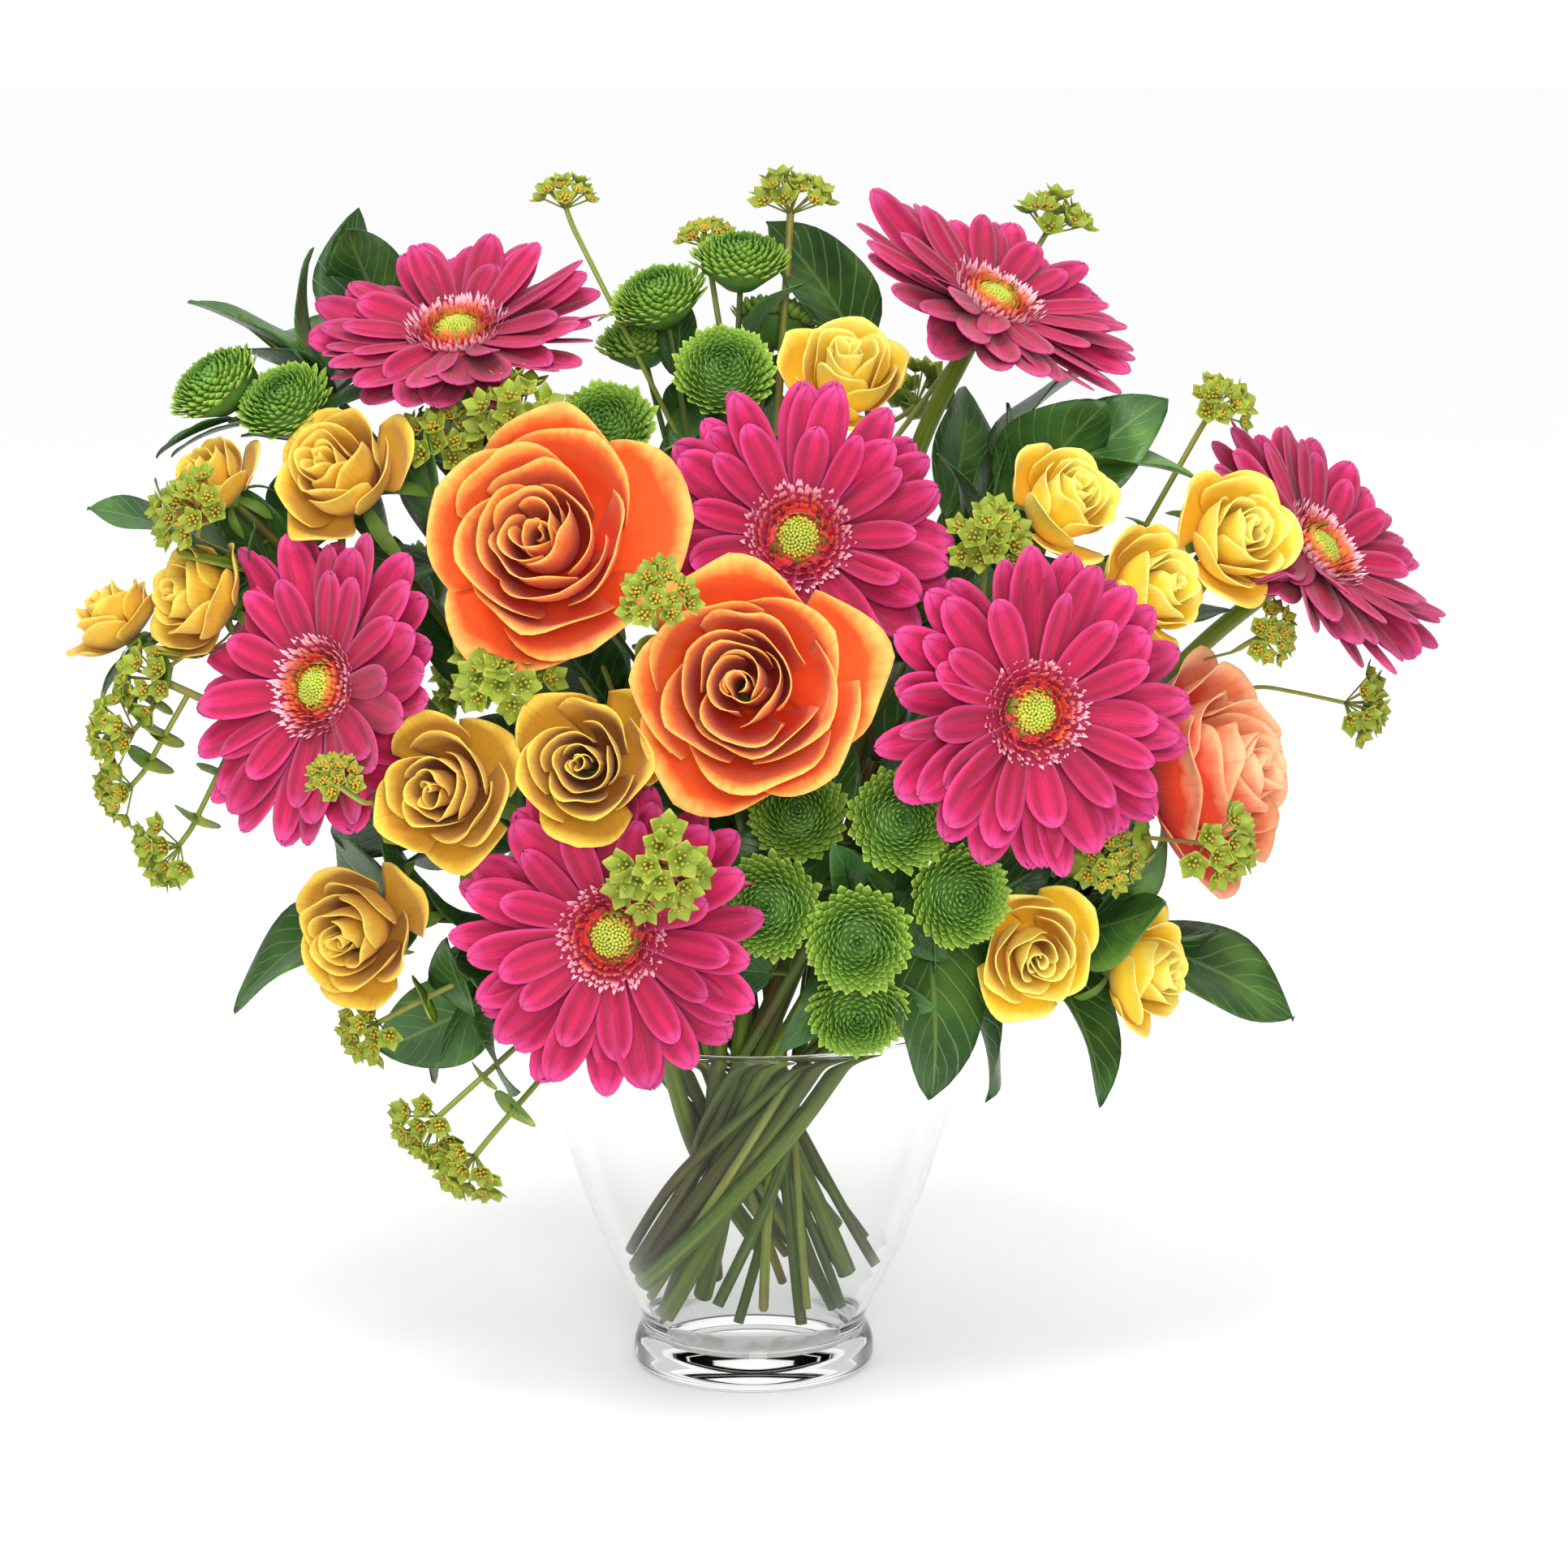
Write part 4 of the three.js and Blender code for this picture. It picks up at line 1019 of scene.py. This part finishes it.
def bloom_group():
    """Masks for a rose petal: Along it from base to lip, unevenly; how far Outer in the spiral it
    is; how near the Lip; and its Deep streaks. Streaks and Grain are for its skin."""
    outputs = ["Along", "Outer", "Lip", "Deep", "Streaks", "Grain"]
    group, _, out = new_group("bloom", {}, outputs)
    streaks = grouped(group, FIBRES, Fineness=34.0, Length=2.0)["Streaks"]
    mottle = grouped(group, MOTTLE, Patches=90.0)
    wander = ranged(group, mottle["Patches"], 0.0, 1.0, -0.09, 0.09)
    along = calc(group, "ADD", uv_of(group)["Y"], wander)
    masks = {
        "Along": along,
        "Outer": ranged(group, tint_of(group), 0.5, 0.95, 0.0, 0.92),
        "Lip": ranged(group, along, 0.76, 1.0, 0.0, 0.85),
        "Deep": ranged(group, streaks, 0.5, 1.0, 0.0, 0.3),
        "Streaks": streaks,
        "Grain": mottle["Grain"],
    }
    for key, value in masks.items():
        group.links.new(value, out[key])
    return group


BLOOM = bloom_group()


def bloom_material(name, heart, body, lip, outer, deep):
    """Rose petals. From base to lip each goes from the heart colour through the body colour to a
    pale lip, and the outermost petals of the spiral turn to the outer colour. The heart colour at
    the petals' bases is partly their own deeper colour and partly painted shade in the crevices
    of the bloom."""
    material, tree, shader = new_material(name, Sheen_Weight=0.12, Specular_IOR_Level=0.3)
    masks = grouped(tree, BLOOM)
    # The heart stops at the petal bases are partly painted shade for the crevices of the bloom.
    stops = [(0.0, heart), (0.42, heart), (0.66, body), (0.8, body), (1.0, lip)]
    shade = ramp(tree, masks["Along"], stops)
    for key, code in (("Outer", outer), ("Lip", lip), ("Deep", deep)):
        shade = mix(tree, masks[key], shade, colour(code))
    surface(tree, shader, shade, masks["Streaks"], masks["Grain"], 0.16 * MM, 0.5, 0.7)
    return material


# The first colour of each, the heart, is partly the petals' own deeper colour and partly painted
# shade in the crevices.
ORANGE = bloom_material("rose_orange", "e63c14", "f6822c", "fcbe5e", "f06226", "e4501a")
PEACH = bloom_material("rose_peach", "ee4426", "f8945e", "fdbe8e", "e42c12", "ea6232")
GOLD = bloom_material("rose_gold", "a85a1c", "e2ac30", "f0d054", "d8a42c", "b8802a")
YELLOW = bloom_material("rose_yellow", "eeb020", "fad838", "fdec78", "f8cc2a", "ecb828")


def rose(number, node, slot, count, material, place, rng):
    """One bloom where the CAD head is. The peach one is flushed with red on its lower left."""
    middle, facing, radius, crown, depth = place
    corners, faces, uv, order = rose_bloom(radius * 0.98, crown * 0.95, depth, count, rng)
    if material is PEACH:
        blush = np.clip(0.6 - (corners[:, 0] + 0.7 * corners[:, 1]) / radius, 0, 1)
        order = 0.5 * order * (1 - blush) + (0.8 + 0.2 * order) * blush
    bloom = placed_parts([(corners, faces, uv, order)], middle, facing)
    piece = make(f"{slot}_{number}_bloom", bloom, material, 0.3 * MM)
    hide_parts(node)


for number, material in ((1, ORANGE), (2, ORANGE), (3, PEACH)):
    rng = np.random.default_rng(200 + number)
    middle, facing, radius, _, depth = place = ORANGE_PLACES[number - 1]
    rose(number, f"orange_rose_{number}_head", "orange_rose", 22, material, place, rng)
    line, thick, _ = main_line(f"orange_rose_{number}_stem")
    line = eased(np.concatenate([line, [middle - facing * depth * 1.05]]))
    stalks = own_leaves(f"orange_rose_{number}", line[:-6], 8, 56 * MM, rng)
    stalks.append((*tube(line, thick, 14), rng.uniform()))
    stalk = make(f"orange_rose_{number}_stalk", stalks, WOODY_STEM)
    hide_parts(f"orange_rose_{number}_stem")
    green = placed_parts(sepals(radius, depth, 5, rng), middle, facing)
    under = make(f"orange_rose_{number}_sepals", green, CALYX)

# ------------------------------------------------------------------------------------------------
# The yellow spray roses: four forked woody stems with three or four small blooms each, two of them
# in a deeper gold. A branch carries each bloom, and both branches and main stem have leaves.
# ------------------------------------------------------------------------------------------------

YELLOW_ON = {1: (1, 2, 3, 4), 2: (5, 6, 7), 3: (8, 9, 10), 4: (11, 12, 13)}
for spray, blooms in YELLOW_ON.items():
    rng = np.random.default_rng(300 + spray)
    shade = GOLD if spray < 3 else YELLOW
    node = f"yellow_rose_spray_{spray}_stem"
    main, thick, solid = main_line(node)
    stalks = [(*tube(eased(main), thick, 12), 0.4)]
    stalks += own_leaves(node, main, 6, 50 * MM, rng)
    green = []
    for number in blooms:
        middle, facing, radius, _, depth = place = YELLOW_PLACES[number - 1]
        rose(number, f"yellow_rose_{number}", "yellow_rose", 17, shade, place, rng)
        start = middle - facing * (depth + 2.6 * MM)
        branch, thin = branch_line(solid, start, -facing, main)
        branch = eased(np.concatenate([branch, [middle - facing * depth * 1.05]]), 3 * MM, 2)
        stalks.append((*tube(branch, thin, 9), 0.2 + 0.05 * number))
        stalks += own_leaves(f"yellow_rose_{number}", branch, 3, 38 * MM, rng)
        green += placed_parts(sepals(radius, depth, 5, rng), middle, facing)
    stalk = make(f"yellow_rose_spray_{spray}_stalks", stalks, WOODY_STEM)
    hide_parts(node)
    under = make(f"yellow_rose_spray_{spray}_sepals", green, CALYX)

# ------------------------------------------------------------------------------------------------
# The button chrysanthemums: forked stems whose heads are tight green domes of small spoon-shaped
# petals, darkest in the dimple at the top.
# ------------------------------------------------------------------------------------------------


def button_material():
    """Petals that go from the deep green of the dimple to the light green of the rim, and from a
    darker foot to a pale tip."""
    material, tree, shader = new_material("button_green", Specular_IOR_Level=0.3)
    uv, out = uv_of(tree), tint_of(tree)
    mottle = grouped(tree, MOTTLE, Patches=160.0)
    foot = ramp(tree, out, [(0.0, "1c4522"), (0.3, "3a6a26"), (1.0, "5c862c")])
    tip = ramp(tree, out, [(0.0, "2f5e28"), (0.25, "689838"), (0.7, "86b040"), (1.0, "aacb52")])
    body = mix(tree, uv["Y"], foot, tip)
    shade = varied(tree, ranged(tree, mottle["Patches"], 0.0, 1.0, 0.85, 1.1), body)
    surface(tree, shader, shade, uv["X"], mottle["Grain"], 0.15 * MM, 0.45, 0.65)
    return material


BUTTON_GREEN = button_material()


def button_head(radius, crown, rng):
    """A low dome of small petals in a spiral. A petal stands where its number puts it, leans out
    more the farther from the top it is, and curls in. Those at the rim are the longest and lie
    almost flat. A smooth body underneath closes the gaps."""
    count = 210
    n = np.arange(count)
    away = np.sqrt((n + 0.5) / count)
    start = radius * 0.80 * away
    rise = crown * (1 - away**2.2) - 0.5 * MM - np.exp(-((away / 0.2) ** 2)) * 1.6 * MM
    length = (2.0 + 3.4 * away**1.5) * MM * (1 + rng.normal(0, 0.09, count))
    width = (1.2 + 2.2 * away) * MM
    lean = 0.25 + 1.25 * away + rng.normal(0, 0.08, count)
    curl = 0.75 - 0.25 * away
    petals, faces, uv = small_petals(count, n * GOLDEN, start, rise, length, width, lean, curl)
    tint = np.repeat(away, len(petals) // count)
    body, body_faces, body_uv = turned_surface([
        [0, -0.55 * radius], [0.3 * radius, -0.5 * radius], [0.8 * radius, -1.5 * MM],
        [0.72 * radius, crown * 0.3], [0.4 * radius, crown * 0.7], [0, crown * 0.6],
    ], 16)
    return [(petals, faces, uv, tint), (body, body_faces, body_uv * [1, 0.1], 0.6)]


def spray_stalks(node, tips, sides=8):
    """The stalks of a spray whose heads are fused with it: the main stem, and a branch from it out
    to each (tip, facing). Returns tubes, the branches' lines and the main line."""
    main, thick, solid = main_line(node)
    stalks, lines = [(*tube(eased(main), thick, 12), 0.3)], []
    for k, (tip, facing) in enumerate(tips):
        branch, thin = branch_line(solid, tip - facing * 2.2 * MM, -facing, main)
        branch = eased(np.concatenate([branch, [tip]]), 3 * MM, 2)
        lines.append(branch)
        stalks.append((*tube(branch, thin, sides), 0.1 + 0.13 * k % 0.9))
    return stalks, lines, main


for spray in range(1, 5):
    rng = np.random.default_rng(400 + spray)
    node = f"button_mum_spray_{spray}"
    heads, tips = [], []
    for pole, facing, ring in crowns(node, MUM_SLOPE):
        radius, crown = ring / RING_SHARE, ring / RING_SHARE * 8 / 17
        middle = pole - facing * crown
        heads += placed_parts(button_head(radius, crown, rng), middle, facing)
        tips.append((middle - facing * radius * 0.53, facing))
    stalks, lines, main = spray_stalks(node, tips)
    stalks += own_leaves(node, main, 7, 44 * MM, rng, 0.5)
    for k, line in enumerate(lines):
        stalks += own_leaves(f"{node}_{k + 1}", line, 3, 34 * MM, rng, 0.5)
    flowers = make(f"{node}_heads", heads, BUTTON_GREEN, 0.25 * MM)
    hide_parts(node)
    stalk = make(f"{node}_stalks", stalks, SPRIG_STEM)

# ------------------------------------------------------------------------------------------------
# The bupleurum: thin forked stems. Each tip carries an umbel of fine rays, each ray a star of
# rounded yellow-green bracts round a knot of tiny florets. Round leaves clasp the branches.
# ------------------------------------------------------------------------------------------------

BRACT = green_material("bupleurum_bract", "5f8428", "93a434", "b4b446", fineness=10.0)
FLORET = green_material("bupleurum_floret", "b8922a", "d4ac38", "e2c652")


def umbel(radius, rng):
    """Fourteen rays from the tip of a branch, spread out by the golden turn, each with a star of
    five bracts and a knot of florets. Returns tubes, bracts and florets."""
    tubes, bracts, florets = [], [], []
    count = 14
    for k in range(count):
        lean = 1.2 * np.sqrt(k / count) + rng.normal(0, 0.06)
        turn = k * GOLDEN + rng.normal(0, 0.12)
        facing = np.array([np.sin(lean) * np.cos(turn), np.sin(lean) * np.sin(turn), np.cos(lean)])
        base = np.array([0, 0, -4 * MM])
        end = base + facing * radius * rng.uniform(0.62, 0.82)
        line = np.linspace(base, end, 4)
        tubes.append((*tube(line, 0.35 * MM, 5), 0.5))
        facing = facing + np.array([0, 0, 0.6])
        facing /= np.linalg.norm(facing)
        size = radius * rng.uniform(0.32, 0.42)
        spin = rng.uniform(0, 6) + np.arange(5) / 5 * TAU
        star, faces, uv = small_petals(5, spin, 0.2 * MM, 0, size, size * 0.72, 1.25, 0.35)
        bracts.append((placed(star, end, facing), faces, uv, rng.uniform()))
        knot, knot_faces, knot_uv, tint = buds(9, size * 0.42, 0.9 * MM, 0.62 * MM, 0.8 * MM)
        florets.append((placed(knot, end, facing), knot_faces, knot_uv, tint))
    return tubes, bracts, florets


def round_leaf(middle, facing, radius, rng):
    """A round, slightly cupped leaf with the branch through its middle."""
    corners, faces, uv = turned_surface([
        [0.06 * radius, 0], [0.4 * radius, 0.10 * radius], [0.8 * radius, 0.16 * radius],
        [radius, 0.08 * radius],
    ], 16)
    turn = np.arctan2(corners[:, 1], corners[:, 0])
    corners[:, 0] *= 1 + 0.12 * np.cos(turn)
    corners[:, 2] += 0.06 * radius * np.sin(2 * turn + rng.uniform(0, 6))
    return placed(corners, middle, facing), faces, uv[:, ::-1], rng.uniform()


for spray in range(1, 7):
    rng = np.random.default_rng(500 + spray)
    node = f"bupleurum_spray_{spray}"
    rays, bracts, florets, tips = [], [], [], []
    for pole, facing, ring in crowns(node, 1.2 / 9.9):
        radius = ring / RING_SHARE
        middle = pole - facing * radius * 6 / 15
        for parts, new in zip((rays, bracts, florets), umbel(radius * 1.05, rng)):
            parts += placed_parts(new, middle, facing)
        tips.append((middle - facing * 3 * MM, facing))
    stalks, lines, _ = spray_stalks(node, tips, 6)
    for line in lines:
        for share in (0.42, 0.74):
            spot = int(share * (len(line) - 1))
            along = line[spot + 1] - line[spot - 1]
            along /= np.linalg.norm(along)
            bracts.append(round_leaf(line[spot], along, rng.uniform(6, 9) * MM, rng))
    roses = ORANGE_PLACES + YELLOW_PLACES
    piece = make(f"{node}_bracts", tucked(bracts, roses), BRACT, 0.22 * MM)
    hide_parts(node)
    piece = make(f"{node}_florets", tucked(florets, roses), FLORET)
    piece = make(f"{node}_stalks", tucked(stalks + rays, roses), LIGHT_STEM)

# ------------------------------------------------------------------------------------------------
# The lemon leaf: branching sprigs with leathery, pointed leaves set alternately along them. A leaf
# is folded a little along its midrib, arches down at the tip and waves at its margin.
# ------------------------------------------------------------------------------------------------

LEMON_LEAF = leaf_material("lemon_leaf_green", "254819", "375f25", "527c31", "86a45c")


def leaf_tips(node):
    """The leaves of a CAD node. A leaf's tip is a pole before a flat ring of eight, which is 0.26
    of the leaf's length behind it and 0.72 of its full width. Five of the ring's corners are
    enough, as a neighbour may have cut the others.
    Returns (tip, the way it points, the way it faces, length, width)."""
    found = []
    for pole, spokes in hubs(node, 5):
        while len(spokes) >= 5:
            axis = np.linalg.lstsq(spokes, -np.ones(len(spokes)), rcond=None)[0]
            behind = 1 / max(np.linalg.norm(axis), 1e-9)
            off = np.abs(spokes @ axis + 1) * behind
            if off.max() < 0.04 * MM:
                break
            spokes = np.delete(spokes, off.argmax(), axis=0)
        if len(spokes) < 5:
            continue
        way = axis * behind
        flat = spokes - np.outer(spokes @ way, way)
        _, _, spread = np.linalg.svd(flat)
        half = np.abs(flat @ spread[0]).max()
        thin = np.abs(flat @ spread[1]).max()
        if 0.76 < half / behind < 0.93 and thin < 0.1 * half:
            found.append((pole, way, np.cross(way, spread[0]), behind / 0.26, half / 0.36))
    return found


CUT_SPRIG = 1
CUT_WAY = np.array([-0.42, -0.2, 0.88])
CUT_LENGTH, CUT_WIDTH = 62 * MM, 42 * MM


def cut_leaf(node, stem_end, rng):
    """A leaf whose tip a neighbour cut off in CAD, so that leaf_tips can't find it. It ends a
    little over the node's highest corner, and a bent stalk joins it to the stem's end. Returns
    the blade and the stalk."""
    corners, _ = solid_corners(node)
    tip = corners[np.argmax(corners[:, 2])] + [0, 0, 5 * MM]
    base = tip - CUT_WAY * CUT_LENGTH
    face = heart_of_bunch(base) - [0, 0.8, 0]
    blade = leaf_blade(base, CUT_WAY, face, CUT_LENGTH, CUT_WIDTH, rng)
    bend = (base + stem_end) / 2 + [6 * MM, 0, 0]
    line = eased(np.array([stem_end, bend, base + CUT_WAY * 2 * MM]))
    return blade, (*tube(line, 1.1 * MM, 7), 0.5)


for sprig in range(1, 8):
    rng = np.random.default_rng(600 + sprig)
    node = f"lemon_leaf_sprig_{sprig}"
    blades, tips = [], []
    for pole, facing, flat, length, width in leaf_tips(node):
        base = pole - facing * length
        flat = flat * np.sign(flat @ heart_of_bunch(base + facing * length / 2) or 1)
        blades.append(leaf_blade(base, facing, flat, length, width, rng))
        tips.append((base + facing * 1.0 * MM, facing))
    stalks, lines, main = spray_stalks(node, tips, 7)
    if sprig == CUT_SPRIG:
        blade, bent = cut_leaf(node, main[-1], rng)
        blades.append(blade)
        stalks.append(bent)
    for line in lines:
        more, short = leaves_along(line, 3, 56 * MM, rng)
        blades += more
        stalks += short
    upper = main[main[:, 2] > rim_height + 6 * MM]
    if len(upper) > 12:
        more, short = leaves_along(upper, 2, 58 * MM, rng, 0.0)
        blades += more
        stalks += short
    leaves = make(f"{node}_leaves", blades, LEMON_LEAF, 0.4 * MM)
    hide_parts(node)
    stalk = make(f"{node}_stalks", stalks, SPRIG_STEM)

# ------------------------------------------------------------------------------------------------
# The room: a wide pale floor, a white sky that darkens to both sides, a soft main light high in
# front and a little left, and a lower light in front. None of it is part of the bouquet.
# ------------------------------------------------------------------------------------------------

floor_paint, _, _ = new_material(
    "pale_floor", Base_Color=(0.93, 0.93, 0.93, 1), Roughness=0.8, Emission_Color=(1, 1, 1, 1),
    Emission_Strength=0.23,
)
HALF_FLOOR = 60.0
square = np.array([[-1, -1, 0], [1, -1, 0], [1, 1, 0], [-1, 1, 0]]) * HALF_FLOOR
mesh = bpy.data.meshes.new("floor")
mesh.from_pydata(square.tolist(), [], [(0, 1, 2, 3)])
mesh.materials.append(floor_paint)
floor = bpy.data.objects.new("floor", mesh)
bpy.context.scene.collection.objects.link(floor)

# The room is white in front, behind and above, and dark grey to both sides, which draws the edges
# of the glass.
world = bpy.data.worlds.new("white_room")
world.use_nodes = True
tree = world.node_tree
way = add(tree, "SeparateXYZ", {"Vector": add(tree, "TexCoord").outputs["Generated"]})
sideways = calc(tree, "ABSOLUTE", way.outputs["X"])
light = add(tree, "MapRange", {
    "Value": sideways, "From Min": 0.45, "From Max": 0.85, "To Min": 1.0, "To Max": 0.1,
}, interpolation_type="SMOOTHSTEP").outputs["Result"]
tree.links.new(light, tree.nodes["Background"].inputs["Strength"])
tree.nodes["Background"].inputs["Color"].default_value = (1, 1, 1, 1)
bpy.context.scene.world = world


def soft_light(name, place, size, power):
    """A square soft light that points at the middle of the bouquet."""
    data = bpy.data.lights.new(name, "AREA")
    data.size, data.energy = size, power
    lamp = bpy.data.objects.new(name, data)
    lamp.location = place
    towards = Vector((0, 0, 0.22)) - Vector(place)
    lamp.rotation_euler = towards.to_track_quat("-Z", "Y").to_euler()
    bpy.context.scene.collection.objects.link(lamp)


soft_light("main_light", (-0.22, -0.95, 1.9), 0.8, 20)
soft_light("front_light", (0.15, -1.9, 0.75), 0.6, 16)

# The camera looks a little down at the bouquet from straight in front.
AIM = Vector((10.5, 0, 203.5)) * MM
DISTANCE = 1.487
ELEVATION = np.radians(9.5)
camera = bpy.data.objects.new("camera", bpy.data.cameras.new("camera"))
camera.data.lens, camera.data.sensor_width = 100, 36
away = Vector((0, -np.cos(ELEVATION), np.sin(ELEVATION)))
camera.location = AIM + away * DISTANCE
camera.rotation_euler = (-away).to_track_quat("-Z", "Y").to_euler()
bpy.context.scene.collection.objects.link(camera)
bpy.context.scene.camera = camera
bpy.context.scene.view_settings.view_transform = "Standard"
